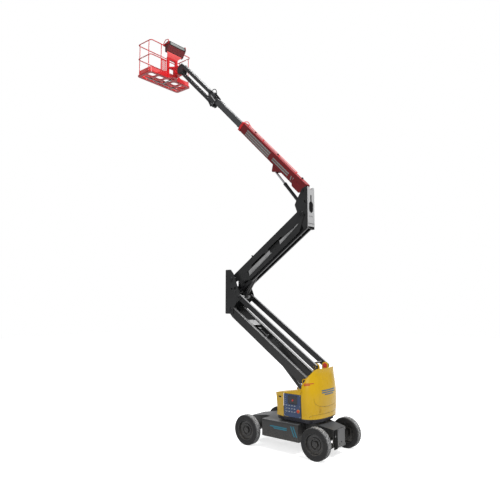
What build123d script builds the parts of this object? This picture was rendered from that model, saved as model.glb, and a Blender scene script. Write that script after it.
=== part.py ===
"""Articulating boom lift: twin-stage riser, telescopic boom, jib and platform."""
import os
from math import atan2, cos, degrees, hypot, radians, sin, tan

from build123d import *

os.makedirs("parts", exist_ok=True)

# Frame: X forward (towards the platform), Y to the machine's left, Z up, origin on the
# floor under the slewing axis.  Millimetres and degrees.

# ---- chassis and wheels ----
overall_width = 1700
wheelbase = 2210
tyre_radius = 400
tyre_width = 200
deck_height = 777
belly_height = 329
box_half_length = 583
box_width = 1530
end_frame_length = 757
end_frame_root_width = 780
end_frame_tip_width = 570
end_frame_drop = 97
end_plate = 16
kingpin_offset = 200
axle_radius = 62
spindle_radius = 45
seat_gap = 0.3

# ---- slewing ring and turntable ----
ring_radius = 470
ring_bore = 330
ring_height = 60
ring_gap = 0.5
base_plate = 30
upright_inside = 308
upright_plate = 20
tie_ear_inside = 205
tie_ear_plate = 18

# ---- covers ----
hood_half_width = 700
hood_rear = 1055
hood_shoulder = 415
hood_wall = 8
hood_bottom = 918
hood_waist = 1380
hood_top = 2190
hood_split = -640

# ---- articulated stages: pivots (x, z) and working angles in the modelled pose ----
lower_pivot = (-489, 1797)
lower_length = 3223
lower_angle = 34.8
tie_pivot = (-803, 2185)
riser_step = (-23, 899)
upper_length = 3031
upper_angle = 35.3
upper_tie_drop = (-135, -371)

lower_beam_inside = 200
lower_beam_width = 100
lower_beam_above = 100
lower_beam_below = 141
lower_tie_inside = 240
lower_tie_width = 60
lower_tie_depth = 150
riser_plate_inside = 308
riser_plate = 14
upper_plate_inside = 176
upper_plate = 12
upper_above = 129
upper_below = 366
upper_tie_inside = 70
upper_tie_width = 46
upper_tie_depth = 84
head_plate_inside = 154
head_plate = 14
pin_radius = 40
pin_play = 0.06

# ---- boom, jib and platform ----
boom_pivot = (-407, 6967)
boom_angle = 45
boom_length = 3364
boom_width = 200
boom_depth = 277
boom_wall = 8
fly_width = 150
fly_depth = 194
fly_reach = 1348
fly_overlap = 1150
jib_angle = 44.7
jib_length = 1990
jib_spread = 208
jib_lead = 200
basket_centre = 5775
basket_floor = 11866
basket_length = 756
basket_width = 1902
basket_height = 1184
rail_radius = 17
post_radius = 15


def vector(angle, length=1.0):
    return (cos(radians(angle)) * length, sin(radians(angle)) * length)


def plus(a, b):
    return (a[0] + b[0], a[1] + b[1])


def arm_plane(pivot, angle, side=0):
    """Plane along a member: local X along it, local Y towards its upper edge."""
    ux, uz = vector(angle)
    normal = -1 if ux > 0 else 1
    return Plane(origin=(pivot[0], side, pivot[1]), x_dir=(ux, 0, uz), z_dir=(0, normal, 0))


def side_plane(side):
    """Vertical plane at y = side whose local axes are world X and Z."""
    return Plane(origin=(0, side, 0), x_dir=(1, 0, 0), z_dir=(0, -1, 0))


def on_arm(pivot, angle, along, up):
    ux, uz = vector(angle)
    nx, nz = (-uz, ux) if ux > 0 else (uz, -ux)
    return (pivot[0] + along * ux + up * nx, pivot[1] + along * uz + up * nz)


def save(name, solid):
    solid.label = name
    export_step(solid, f"parts/{name}.step")


# ---- derived pivots ----
riser_foot = plus(lower_pivot, vector(lower_angle, lower_length))
upper_pivot = plus(riser_foot, riser_step)
tie_top = plus(riser_foot, (tie_pivot[0] - lower_pivot[0], tie_pivot[1] - lower_pivot[1]))
head_pivot = plus(upper_pivot, vector(180 - upper_angle, upper_length))
upper_tie_foot = plus(upper_pivot, upper_tie_drop)
upper_tie_top = plus(head_pivot, upper_tie_drop)

axle_x = wheelbase / 2
wheel_y = (overall_width - tyre_width) / 2
kingpin_y = wheel_y - kingpin_offset
ring_top = deck_height + ring_height
base_bottom = ring_top + ring_gap + 22
base_top = base_bottom + base_plate

# =====================================================================================
# Chassis
# =====================================================================================
panel_height = deck_height - belly_height
with BuildPart() as chassis_box:
    with BuildSketch(Plane.YZ.offset(-box_half_length)):
        with Locations((0, belly_height + panel_height / 2)):
            RectangleRounded(box_width, panel_height, 38)
    extrude(amount=2 * box_half_length)
    # service recesses in the belly, open downwards
    with BuildSketch(Plane.XY.offset(belly_height)):
        with GridLocations(560, 640, 2, 2):
            RectangleRounded(420, 480, 40)
    extrude(amount=130, mode=Mode.SUBTRACT)
save("chassis_box", chassis_box.part)


def end_frame(direction):
    """Tapered inverted-U weldment that carries one axle; direction is +1 or -1 along X."""
    root = box_half_length
    tip = root + end_frame_length
    tip_top = deck_height - end_frame_drop
    skirt = belly_height + 95
    with BuildPart() as frame:
        with BuildSketch(Plane.XZ):
            with BuildLine():
                Polyline(
                    (direction * root, deck_height), (direction * (root + 190), deck_height),
                    (direction * tip, tip_top), (direction * tip, 262),
                    (direction * (tip - 70), 212), (direction * (tip - 150), 212),
                    (direction * (tip - 190), skirt), (direction * root, skirt), close=True)
            make_face()
        extrude(amount=end_frame_root_width, both=True)
        with BuildSketch(Plane.XY):
            with BuildLine():
                Polyline(
                    (direction * root, -end_frame_root_width / 2),
                    (direction * tip, -end_frame_tip_width / 2),
                    (direction * tip, end_frame_tip_width / 2),
                    (direction * root, end_frame_root_width / 2), close=True)
            make_face()
        extrude(amount=deck_height + 10, mode=Mode.INTERSECT)
        tip_edges = frame.edges().filter_by_position(Axis.X, direction * tip - 0.5, direction * tip + 0.5)
        fillet(tip_edges.filter_by(Axis.Z), 34)
        downward = [f for f in frame.faces() if f.normal_at().Z < -0.05]
        inner_end = frame.faces().filter_by(Axis.X).sort_by(Axis.X)
        opened = downward + [inner_end[0] if direction > 0 else inner_end[-1]]
        offset(amount=-end_plate, openings=opened)
        # tall slots in the side skirts and openings in the end plate
        with BuildSketch(Plane.XZ):
            with Locations((direction * (tip - 62), 430)):
                SlotOverall(150, 44, rotation=90)
        extrude(amount=end_frame_root_width, both=True, mode=Mode.SUBTRACT)
        with BuildSketch(Plane.YZ.offset(direction * (tip - 60))):
            with Locations((-150, 560), (150, 560)):
                Circle(26)
            with Locations((0, 560)):
                SlotOverall(120, 40)
            with Locations((-165, 340), (165, 340)):
                Circle(20)
        extrude(amount=direction * 80, mode=Mode.SUBTRACT)
        # axle bore through both skirts
        with BuildSketch(Plane.XZ):
            with Locations((direction * axle_x, tyre_radius)):
                Circle(axle_radius + seat_gap)
        extrude(amount=end_frame_root_width, both=True, mode=Mode.SUBTRACT)
    return frame.part


save("drive_end_frame", end_frame(1))
save("steer_end_frame", end_frame(-1))

# drive axle: tube, wheel-motor housings and spindles, one revolved profile
motor_inner = wheel_y - 310
motor_face = wheel_y - 95
hub_shoulder = wheel_y - 66
spindle_end = wheel_y + 46
with BuildPart() as drive_axle:
    with BuildSketch(Plane(origin=(axle_x, 0, tyre_radius), x_dir=(0, 1, 0), z_dir=(1, 0, 0))):
        with BuildLine():
            Polyline(
                (0, 0), (0, axle_radius), (motor_inner, axle_radius), (motor_inner, 128),
                (motor_inner + 35, 142), (motor_face - 70, 142), (motor_face - 55, 118),
                (motor_face, 118), (motor_face, 86), (hub_shoulder, 86),
                (hub_shoulder, spindle_radius - pin_play), (spindle_end, spindle_radius - pin_play),
                (spindle_end, 0), close=True)
        make_face()
    revolve(axis=Axis((axle_x, 0, tyre_radius), (0, 1, 0)))
    mirror(about=Plane.XZ)
save("drive_axle", drive_axle.part)

# steered axle: tube with a forked end around each kingpin
fork_height = 76
fork_plate = 24
kingpin_radius = 27
with BuildPart() as steer_axle:
    with BuildSketch(Plane.XZ):
        with Locations((-axle_x, tyre_radius)):
            Circle(axle_radius)
    extrude(amount=kingpin_y - 90, both=True)
    for side in (1, -1):
        with BuildSketch(Plane.XY.offset(tyre_radius - fork_height - fork_plate)):
            with Locations((-axle_x, side * kingpin_y)):
                Circle(52)
            with Locations((-axle_x, side * (kingpin_y - 50))):
                Rectangle(84, 100)
        extrude(amount=2 * (fork_height + fork_plate))
        with BuildSketch(Plane.XY.offset(tyre_radius - fork_height)):
            with Locations((-axle_x, side * (kingpin_y + 5))):
                Rectangle(140, 160)
        extrude(amount=2 * fork_height, mode=Mode.SUBTRACT)
        with BuildSketch(Plane.XY.offset(tyre_radius - fork_height - fork_plate - 8)):
            with Locations((-axle_x, side * kingpin_y)):
                Circle(kingpin_radius)
        extrude(amount=2 * (fork_height + fork_plate + 8))
save("steer_axle", steer_axle.part)


def knuckle(side):
    """Steering knuckle: kingpin boss, wheel spindle and steering arm."""
    with BuildPart() as body:
        boss_half = fork_height - 1
        with BuildSketch(Plane.XY.offset(tyre_radius - boss_half)):
            with Locations((-axle_x, side * kingpin_y)):
                Circle(50)
        extrude(amount=2 * boss_half)
        with BuildSketch(Plane(origin=(-axle_x, side * kingpin_y, tyre_radius),
                               x_dir=(0, side, 0), z_dir=(side, 0, 0))):
            with BuildLine():
                Polyline(
                    (20, 0), (20, 44), (58, 44), (58, 112), (76, 112), (76, 60), (134, 60),
                    (134, spindle_radius - pin_play), (246, spindle_radius - pin_play),
                    (246, 0), close=True)
            make_face()
        revolve(axis=Axis((-axle_x, side * kingpin_y, tyre_radius), (0, 1, 0)))
        # steering arm towards the machine's centre, with its ball-joint eye
        with BuildSketch(Plane.XY.offset(tyre_radius - 44)):
            with BuildLine():
                Polyline(
                    (-axle_x, side * (kingpin_y - 20)), (-axle_x + 190, side * (kingpin_y - 35)),
                    (-axle_x + 190, side * (kingpin_y + 5)), (-axle_x, side * (kingpin_y + 24)),
                    close=True)
            make_face()
            with Locations((-axle_x + 190, side * (kingpin_y - 15))):
                Circle(28)
                Circle(12, mode=Mode.SUBTRACT)
        extrude(amount=22)
        # brake-line guard: a flat loop behind the wheel
        with BuildSketch(Plane(origin=(-axle_x, side * (kingpin_y + 60), tyre_radius),
                               x_dir=(-1, 0, 0), z_dir=(0, 1, 0))):
            with Locations((120, 0)):
                RectangleRounded(190, 330, 30)
                RectangleRounded(150, 290, 18, mode=Mode.SUBTRACT)
        extrude(amount=14, dir=(0, side, 0))
        with BuildSketch(Plane.XY.offset(tyre_radius - fork_height - fork_plate - 12)):
            with Locations((-axle_x, side * kingpin_y)):
                Circle(kingpin_radius + pin_play)
        extrude(amount=2 * (fork_height + fork_plate + 12), mode=Mode.SUBTRACT)
    return body.part


save("knuckle_left", knuckle(1))
save("knuckle_right", knuckle(-1))


def wheel_plane(x, side):
    return Plane(origin=(x, side * wheel_y, tyre_radius), x_dir=(0, side, 0), z_dir=(side, 0, 0))


half_tyre = tyre_width / 2
rim_seat = 262


def tyre(x, side):
    with BuildPart() as ring:
        with BuildSketch(wheel_plane(x, side)):
            with BuildLine():
                Polyline(
                    (-half_tyre + 12, rim_seat), (half_tyre - 12, rim_seat),
                    (half_tyre, rim_seat + 34), (half_tyre, tyre_radius - 42),
                    (half_tyre - 8, tyre_radius - 16), (half_tyre - 30, tyre_radius),
                    (30 - half_tyre, tyre_radius), (8 - half_tyre, tyre_radius - 16),
                    (-half_tyre, tyre_radius - 42), (-half_tyre, rim_seat + 34), close=True)
            make_face()
        revolve(axis=Axis((x, 0, tyre_radius), (0, 1, 0)))
    return ring.part


def rim(x, side):
    """Dished steel rim with stepped rings, hub and a blind spindle bore."""
    bore = spindle_radius
    with BuildPart() as disc:
        with BuildSketch(wheel_plane(x, side)):
            with BuildLine():
                Polyline(
                    (-90, rim_seat), (90, rim_seat), (90, 250), (76, 245), (30, 228),
                    (24, 166), (40, 156), (40, 120), (18, 110), (18, 86), (62, 78), (70, 66),
                    (70, 0), (52, 0), (52, bore), (-60, bore), (-60, 82), (2, 92), (2, 222),
                    (-78, 246), (-90, 250), close=True)
            make_face()
        revolve(axis=Axis((x, 0, tyre_radius), (0, 1, 0)))
    return disc.part


wheel_table = (  # name, x, side
    ("drive_left", axle_x, 1), ("drive_right", axle_x, -1),
    ("steer_left", -axle_x, 1), ("steer_right", -axle_x, -1),
)
for name, x, side in wheel_table:
    save(f"tyre_{name}", tyre(x, side))
    save(f"rim_{name}", rim(x, side))

# slewing ring: fixed lower race on the deck
with BuildPart() as slew_ring:
    with BuildSketch(Plane.XY.offset(deck_height)):
        Circle(ring_radius)
        Circle(ring_bore, mode=Mode.SUBTRACT)
    extrude(amount=ring_height)
    with BuildSketch(Plane.XY.offset(deck_height)):
        Circle(ring_radius + 30)
        Circle(ring_bore, mode=Mode.SUBTRACT)
    extrude(amount=16)
    with PolarLocations(ring_radius + 15, 24):
        with Locations((0, 0, deck_height + 16)):
            Cylinder(8, 10, align=(Align.CENTER, Align.CENTER, Align.MIN))
save("slew_ring", slew_ring.part)

# =====================================================================================
# Turntable
# =====================================================================================
hood_draft_up = 6
hood_draft_down = 3


def hood_plan(inset=0.0):
    """Plan of the tail hood, inset from its widest outline; it runs forward past the covers."""
    half = hood_half_width - inset
    rear = -hood_rear + inset
    shoulder = -hood_rear + hood_shoulder
    with BuildSketch(Plane.XY, mode=Mode.PRIVATE) as plan:
        with BuildLine():
            for side in (1, -1):
                Line((400, side * half), (shoulder, side * half))
                Bezier((shoulder, side * half), (shoulder - 0.68 * hood_shoulder, side * half),
                       (rear, side * 0.62 * half), (rear, 0))
            Line((400, half), (400, -half))
        make_face()
    return plan.sketch


# sill: the dark kick strip that closes the turntable under the covers
waist_to_top = (hood_top - hood_waist) * tan(radians(hood_draft_up))
waist_to_bottom = (hood_waist - hood_bottom) * tan(radians(hood_draft_down))
hood_seat = hood_wall + waist_to_bottom + seat_gap
sill_inset = 118
sill_front = 140


def base_plan(inset):
    """Turntable plan inside the covers: square at the front, with its front corners cut back."""
    edge = sill_front + sill_inset - inset
    half = hood_half_width - inset
    with BuildSketch(mode=Mode.PRIVATE) as plan:
        add(hood_plan(inset))
        with Locations((edge + 200, 0)):
            Rectangle(400, 2 * hood_half_width, mode=Mode.SUBTRACT)
        for side in (1, -1):
            with BuildLine():
                Polyline((edge - 160, side * half), (edge + 5, side * half),
                         (edge + 5, side * (half - 50)), close=True)
            make_face(mode=Mode.SUBTRACT)
    return plan.sketch


sill_wall = 10
sill_low = deck_height + 25
with BuildPart() as cover_sill:
    with BuildSketch(Plane.XY.offset(sill_low)):
        add(base_plan(sill_inset))
        add(base_plan(sill_inset + sill_wall), mode=Mode.SUBTRACT)
    extrude(amount=base_top - seat_gap - sill_low)
    with BuildSketch(Plane.XY.offset(sill_low)):
        Circle(ring_radius + 36)
    extrude(amount=base_bottom + seat_gap - sill_low, mode=Mode.SUBTRACT)
save("cover_sill", cover_sill.part)

# side covers and their sloping hinge line
cover_wall = 6
cover_rear = -632
cover_slope = 10.3
hinge_start = (-560, 1628)
hinge_side = 362
hinge_drop = 18
hinge_lugs = (60, 380, 700)
nose_top = (230, hinge_start[1] - (230 - hinge_start[0]) * tan(radians(cover_slope)))
cover_outline = (
    (cover_rear, hood_bottom),
    (cover_rear, hinge_start[1] + (hinge_start[0] - cover_rear) * tan(radians(cover_slope))),
    nose_top, (205, 1380),
    (165, 1030), (180, hood_bottom + 40), (180, hood_bottom),
)
panel_box = (-625, -95, 560, 698, 934, 1503)  # x from, x to, y from, y to, z from, z to


slope_x, slope_z = cos(radians(cover_slope)), -sin(radians(cover_slope))


def hinge_plane(side, along):
    """Plane across the cover hinge, at a distance along it; local X is outboard."""
    origin = (hinge_start[0] + along * slope_x, 0, hinge_start[1] + along * slope_z)
    return Plane(origin=origin, x_dir=(0, side, 0), z_dir=(side * slope_x, 0, side * slope_z))


main_plate_outline = (
    (-900, base_top), (-900, 1960), (-860, 2000), (-700, 2000), (-620, 1950), (-520, 1860),
    (-425, 1740), (-400, 1600), (-330, 1400), (-120, 1000), (-120, base_top),
)
ear_outline = ((-900, 1690), (-900, 2190), (-706, 2190), (-706, 1690))
lower_cylinder_foot = (-330, 1400)
lug_inside = 69
lug_plate = 22
with BuildPart() as turntable_frame:
    with BuildSketch(Plane.XY.offset(ring_top + ring_gap)):
        Circle(ring_radius - 10)
        Circle(ring_bore, mode=Mode.SUBTRACT)
    extrude(amount=22)
    with BuildSketch(Plane.XY.offset(base_bottom)):
        add(base_plan(sill_inset + sill_wall + seat_gap))
        Circle(150, mode=Mode.SUBTRACT)
    extrude(amount=base_plate)
    for side in (1, -1):
        with BuildSketch(side_plane(side * upright_inside)):
            with BuildLine():
                Polyline(*main_plate_outline, close=True)
            make_face()
            with Locations(lower_pivot):
                Circle(66)
        extrude(amount=upright_plate, dir=(0, side, 0))
        # tie ear, standing inboard of the tie, with a bridge to the upright
        with BuildSketch(side_plane(side * tie_ear_inside)):
            with BuildLine():
                Polyline(*ear_outline, close=True)
            make_face()
            with Locations(tie_pivot):
                Circle(97)
        extrude(amount=tie_ear_plate, dir=(0, side, 0))
        with BuildSketch(side_plane(side * tie_ear_inside)):
            with Locations((-805, 1840)):
                RectangleRounded(160, 280, 20)
        extrude(amount=upright_inside - tie_ear_inside, dir=(0, side, 0))
        # pins: lower beam pivot points inboard, tie pivot points outboard
        with BuildSketch(side_plane(side * (lower_beam_inside - 4))):
            with Locations(lower_pivot):
                Circle(pin_radius)
        extrude(amount=upright_inside - lower_beam_inside + 4, dir=(0, side, 0))
        with BuildSketch(side_plane(side * tie_ear_inside)):
            with Locations(tie_pivot):
                Circle(pin_radius)
        extrude(amount=lower_tie_inside + lower_tie_width + 3 - tie_ear_inside, dir=(0, side, 0))
        with BuildSketch(side_plane(side * (tie_ear_inside + tie_ear_plate))):
            with Locations(tie_pivot):
                Circle(62)
        extrude(amount=lower_tie_inside - seat_gap - tie_ear_inside - tie_ear_plate, dir=(0, side, 0))
        # clevis for the lower lift cylinder
        with BuildSketch(side_plane(side * lug_inside)):
            with BuildLine():
                Polyline((-470, base_top), (-395, 1400), (-265, 1400), (-150, base_top), close=True)
            make_face()
            with Locations(lower_cylinder_foot):
                Circle(65)
        extrude(amount=lug_plate, dir=(0, side, 0))
    with BuildSketch(side_plane(0)):
        with Locations(lower_cylinder_foot):
            Circle(32)
    extrude(amount=lug_inside + lug_plate, both=True)
    # cover rails with hinge lugs and pins
    for side in (1, -1):
        with BuildSketch(hinge_plane(side, -20)):
            with Locations((upright_inside + upright_plate + 3, -50)):
                Rectangle(6, 60)
        extrude(amount=770, dir=(slope_x, 0, slope_z))
        for lug in hinge_lugs:
            with BuildSketch(hinge_plane(side, lug)):
                with Locations((hinge_side, -hinge_drop)):
                    Circle(11)
                with Locations((hinge_side, -hinge_drop - 20)):
                    Rectangle(16, 40)
                with Locations(((upright_inside + upright_plate + hinge_side) / 2 + 4, -50)):
                    Rectangle(hinge_side - upright_inside - upright_plate + 8, 20)
            extrude(amount=10, dir=(slope_x, 0, slope_z))
            with BuildSketch(hinge_plane(side, lug)):
                with Locations((hinge_side, -hinge_drop)):
                    Circle(6)
            extrude(amount=38, dir=(slope_x, 0, slope_z))
    # rear cross wall and front cross wall between the uprights
    for wall_x, wall_top in ((-900, 1700), (-180, 1060)):
        with BuildSketch(Plane.XY.offset(base_top)):
            with Locations((wall_x + 10, 0)):
                Rectangle(20, 2 * upright_inside)
        extrude(amount=wall_top - base_top)
save("turntable_frame", turntable_frame.part)

# counterweight: one casting behind the uprights, slotted over them
weight_top = 1480
with BuildPart() as counterweight:
    for inset, height in ((hood_seat + seat_gap, hood_bottom + 22), (hood_seat + 34, weight_top)):
        with BuildSketch(Plane.XY.offset(base_top)):
            add(hood_plan(inset))
            Rectangle(1280, 2 * hood_half_width, mode=Mode.SUBTRACT)
        extrude(amount=height - base_top)
    with BuildSketch(Plane.XY.offset(base_top)):
        with Locations((-700, 0)):
            Rectangle(400, 2 * (upright_inside + upright_plate))
    extrude(amount=weight_top, mode=Mode.SUBTRACT)
save("counterweight", counterweight.part)

# tail hood: open-topped shell, widest at its waist and rounded over it
waist_rise = (hood_top - hood_waist) / 3
hood_levels = (  # height, inset of the outer plan
    (hood_bottom, waist_to_bottom), (hood_waist - waist_rise / 2, waist_to_bottom * 0.3),
    (hood_waist + waist_rise / 4, waist_to_top * 0.04), (hood_waist + waist_rise, waist_to_top * 0.25),
    (hood_top, waist_to_top),
)
with BuildPart() as tail_hood:
    for inset, step in ((0.0, Mode.ADD), (hood_wall, Mode.SUBTRACT)):
        for height, level_inset in hood_levels:
            with BuildSketch(Plane.XY.offset(height)):
                add(hood_plan(level_inset + inset))
        loft(mode=step)
    with BuildSketch(Plane.XZ):
        with BuildLine():
            Polyline(
                (hood_split, hood_bottom - 50), (hood_split, 1735), (-680, 1800), (-880, 2100),
                (-930, hood_top - 30), (-1000, hood_top - 48), (-1200, hood_top - 20),
                (-1200, hood_top + 50), (600, hood_top + 50), (600, hood_bottom - 50),
                close=True)
        make_face()
    extrude(amount=hood_half_width + 50, both=True, mode=Mode.SUBTRACT)
save("tail_hood", tail_hood.part)

# side covers: gull-wing shells hinged along their sloping top edge
def cover_core(side, inset):
    """Closed block of a side cover, shrunk by inset but open inboard, rearward and below."""
    with BuildPart(mode=Mode.PRIVATE) as core:
        with BuildSketch(side_plane(0)):
            with BuildLine():
                Polyline(*cover_outline, close=True)
            make_face()
            if inset:
                offset(amount=-inset, kind=Kind.INTERSECTION)
                with Locations((cover_rear, (hood_bottom + 1600) / 2)):
                    Rectangle(40, 1600 - hood_bottom)
                with Locations(((cover_rear + 165) / 2, hood_bottom)):
                    Rectangle(165 - cover_rear - 2 * inset, 40)
        extrude(amount=hood_half_width, dir=(0, side, 0))
        with BuildSketch(Plane.XY.offset(hood_bottom - 60)):
            with BuildLine():
                Polyline(
                    (cover_rear - 60, side * (hinge_side - 13 - 3 * inset)),
                    (cover_rear - 60, side * (hood_half_width - inset)),
                    (-85 - inset, side * (hood_half_width - inset)),
                    (230 - inset, side * (610 - inset)),
                    (230 - inset, side * (hinge_side - 13 - 3 * inset)), close=True)
            make_face()
        extrude(amount=900, mode=Mode.INTERSECT)
    return core.part


def side_cover(side, around_panel):
    with BuildPart() as cover:
        add(cover_core(side, 0))
        add(cover_core(side, cover_wall), mode=Mode.SUBTRACT)
        for lug in hinge_lugs:
            with BuildSketch(hinge_plane(side, lug + 11)):
                with Locations((hinge_side, -hinge_drop)):
                    Circle(13)
            extrude(amount=24, dir=(slope_x, 0, slope_z))
        for lug in hinge_lugs:
            with BuildSketch(hinge_plane(side, lug - 30)):
                with Locations((hinge_side, -hinge_drop)):
                    Circle(6 + pin_play)
            extrude(amount=90, dir=(slope_x, 0, slope_z), mode=Mode.SUBTRACT)
        if around_panel:
            with BuildSketch(Plane.XZ):
                with Locations(((cover_rear + panel_box[1]) / 2, hood_bottom)):
                    Rectangle(panel_box[1] - cover_rear + 20, 2 * (panel_box[5] + 9 - hood_bottom))
            extrude(amount=-side * hood_half_width, mode=Mode.SUBTRACT)
    return cover.part


save("side_cover_left", side_cover(1, True))
save("side_cover_right", side_cover(-1, False))

# ground control box with a recessed display, key switch and stop button
px0, px1, py0, py1, pz0, pz1 = panel_box
panel_mid = (px0 + px1) / 2
with BuildPart() as control_box:
    with BuildSketch(Plane.XZ.offset(-py0)):
        with Locations((panel_mid, (pz0 + pz1) / 2)):
            RectangleRounded(px1 - px0, pz1 - pz0, 12)
    extrude(amount=-(py1 - py0))
    foot_outer = hood_half_width - sill_inset - 12
    with BuildSketch(Plane.XY.offset(base_top)):
        with Locations((panel_mid, foot_outer - 40)):
            Rectangle(400, 80)
    extrude(amount=pz0 + 60 - base_top)
    with BuildSketch(Plane.XZ.offset(-py1 + 14)):
        with Locations((panel_mid - 20, pz1 - 165)):
            RectangleRounded(250, 175, 10)
    extrude(amount=-30, mode=Mode.SUBTRACT)
save("control_box", control_box.part)

with BuildPart() as stop_button:
    with BuildSketch(Plane.XZ.offset(-py1)):
        with Locations((px0 + 75, pz0 + 160)):
            Circle(22)
    extrude(amount=-14)
    with BuildSketch(Plane.XZ.offset(-py1 - 14)):
        with Locations((px0 + 75, pz0 + 160)):
            Circle(34)
    extrude(amount=-16, taper=12)
save("stop_button", stop_button.part)

# =====================================================================================
# Lower stage
# =====================================================================================
def bar_outline(length, above, below, end_radius, taper=170):
    """Side view of a member pinned at (0, 0) and (length, 0), with rounded tapered ends."""
    with BuildSketch(Plane.XY, mode=Mode.PRIVATE) as outline:
        with BuildLine():
            Polyline(
                (0, end_radius), (taper, above), (length - taper, above), (length, end_radius),
                (length, -end_radius), (length - taper, -below), (taper, -below),
                (0, -end_radius), close=True)
        make_face()
        with Locations((0, 0), (length, 0)):
            Circle(end_radius)
    return outline.sketch


def pin_at(point, radius, y_from, y_to):
    """Round pin along Y through a side-view point, added to or cut from the open part."""
    with BuildPart(mode=Mode.PRIVATE) as pin:
        with BuildSketch(side_plane(y_from)):
            with Locations(point):
                Circle(radius)
        extrude(amount=y_to - y_from, dir=(0, 1, 0))
    return pin.part


def mirrored_pins(point, radius, y_from, y_to):
    return [pin_at(point, radius, y_from, y_to), pin_at(point, radius, -y_to, -y_from)]


lower_cylinder_along = 1900
lower_cylinder_up = -60
eye_half_width = 66
eye_gap = 1.5
cheek_inside = eye_half_width + 8
cheek_plate = 18
lower_tip = plus(lower_pivot, vector(lower_angle, lower_length))
with BuildPart() as lower_arm:
    for side in (1, -1):
        with BuildSketch(arm_plane(lower_pivot, lower_angle, side * lower_beam_inside)):
            add(bar_outline(lower_length, lower_beam_above, lower_beam_below, 104))
        extrude(amount=lower_beam_width, dir=(0, side, 0))
        # cheeks and gusset for the lift cylinder's rod eye
        with BuildSketch(arm_plane(lower_pivot, lower_angle, side * cheek_inside)):
            with BuildLine():
                Polyline(
                    (lower_cylinder_along - 70, lower_cylinder_up), (lower_cylinder_along + 10, 20),
                    (2330, 20), (2330, -lower_beam_below), (2160, -lower_beam_below),
                    (lower_cylinder_along - 50, lower_cylinder_up - 50), close=True)
            make_face()
            with Locations((lower_cylinder_along, lower_cylinder_up)):
                Circle(70)
        extrude(amount=cheek_plate, dir=(0, side, 0))
        with BuildSketch(arm_plane(lower_pivot, lower_angle, side * (cheek_inside + cheek_plate))):
            with Locations((lower_cylinder_along + 40, -50), (2270, -50)):
                Rectangle(24, 130)
        extrude(amount=lower_beam_inside - cheek_inside - cheek_plate, dir=(0, side, 0))
    # bottom cross plate and cross box near the upper end
    for along, length, up, depth in ((2500, 500, 8 - lower_beam_below, 16), (2650, 60, -40, 120),
                                     (2480, 240, 64, 12)):
        with BuildSketch(arm_plane(lower_pivot, lower_angle, -lower_beam_inside)):
            with Locations((along, up)):
                Rectangle(length, depth)
        extrude(amount=2 * lower_beam_inside, dir=(0, 1, 0))
    for point in (lower_pivot, lower_tip):
        add(pin_at(point, pin_radius + pin_play, -400, 400), mode=Mode.SUBTRACT)
    rod_point = on_arm(lower_pivot, lower_angle, lower_cylinder_along, lower_cylinder_up)
    add(mirrored_pins(rod_point, 30, eye_half_width + eye_gap, cheek_inside + cheek_plate + 10))
save("lower_arm", lower_arm.part)

with BuildPart() as lower_ties:
    for side in (1, -1):
        with BuildSketch(arm_plane(tie_pivot, lower_angle, side * lower_tie_inside)):
            add(bar_outline(lower_length, lower_tie_depth / 2, lower_tie_depth / 2, 74, 60))
        extrude(amount=lower_tie_width, dir=(0, side, 0))
    for point in (tie_pivot, tie_top):
        add(pin_at(point, pin_radius + pin_play, -400, 400), mode=Mode.SUBTRACT)
    add(pin_at(on_arm(tie_pivot, lower_angle, 155, 0), 24, -lower_tie_inside, lower_tie_inside))
save("lower_ties", lower_ties.part)

# =====================================================================================
# Mid riser: side plates with boxed front edge, stub pins and two cross shafts
# =====================================================================================
mid_front = riser_foot[0] + 200
mid_bottom = riser_foot[1] - 118
mid_top = upper_pivot[1] + 308
cross_top = riser_foot[1] + 740
mid_outline = (
    (mid_front, mid_bottom), (mid_front, mid_top), (mid_front - 208, mid_top),
    (upper_pivot[0] - 91, upper_pivot[1] + 187), (tie_top[0] - 60, tie_top[1] + 90),
    (tie_top[0] - 110, tie_top[1] - 60), (tie_top[0] + 60, tie_top[1] - 150),
    (riser_foot[0] - 120, riser_foot[1] + 60), (riser_foot[0] - 100, mid_bottom),
)
with BuildPart() as mid_riser:
    for side in (1, -1):
        with BuildSketch(side_plane(side * riser_plate_inside)) as plate_view:
            with BuildLine():
                Polyline(*mid_outline, close=True)
            make_face()
            fillet(plate_view.vertices(), 26)
            with Locations((riser_foot[0] - 40, (riser_foot[1] + upper_pivot[1]) / 2 + 180)):
                SlotOverall(110, 46, mode=Mode.SUBTRACT)
        extrude(amount=riser_plate, dir=(0, side, 0))
        # folded front flange
        with BuildSketch(side_plane(side * (riser_plate_inside - 46))):
            with Locations((mid_front - 7, (mid_bottom + mid_top) / 2)):
                Rectangle(14, mid_top - mid_bottom - 40)
        extrude(amount=48, dir=(0, side, 0))
        # reinforcing bosses outside the plates
        for point in (riser_foot, upper_pivot, tie_top, upper_tie_foot):
            with BuildSketch(side_plane(side * (riser_plate_inside + riser_plate))):
                with Locations(point):
                    Circle(64)
            extrude(amount=8, dir=(0, side, 0))
    with BuildSketch(Plane.YZ.offset(mid_front - 14)):
        with Locations((0, (mid_bottom + cross_top) / 2)):
            Rectangle(2 * riser_plate_inside, cross_top - mid_bottom - 30)
            RectangleRounded(260, 330, 60, mode=Mode.SUBTRACT)
    extrude(amount=14)
    outer = riser_plate_inside + riser_plate + 14
    add(mirrored_pins(riser_foot, pin_radius, lower_beam_inside - 4, outer))
    add(mirrored_pins(upper_pivot, pin_radius + 6, upper_plate_inside - 4, outer))
    add(pin_at(tie_top, pin_radius, -outer, outer))
    add(pin_at(upper_tie_foot, 30, -outer, outer))
    # shoulders that centre the ties on their shafts
    add(mirrored_pins(tie_top, 56, 210, lower_tie_inside - seat_gap))
    add(mirrored_pins(upper_tie_foot, 44, upper_tie_inside + upper_tie_width + seat_gap, 150))
    add(mirrored_pins(riser_foot, 62, lower_beam_inside + lower_beam_width + seat_gap,
                      riser_plate_inside))
save("mid_riser", mid_riser.part)

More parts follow.
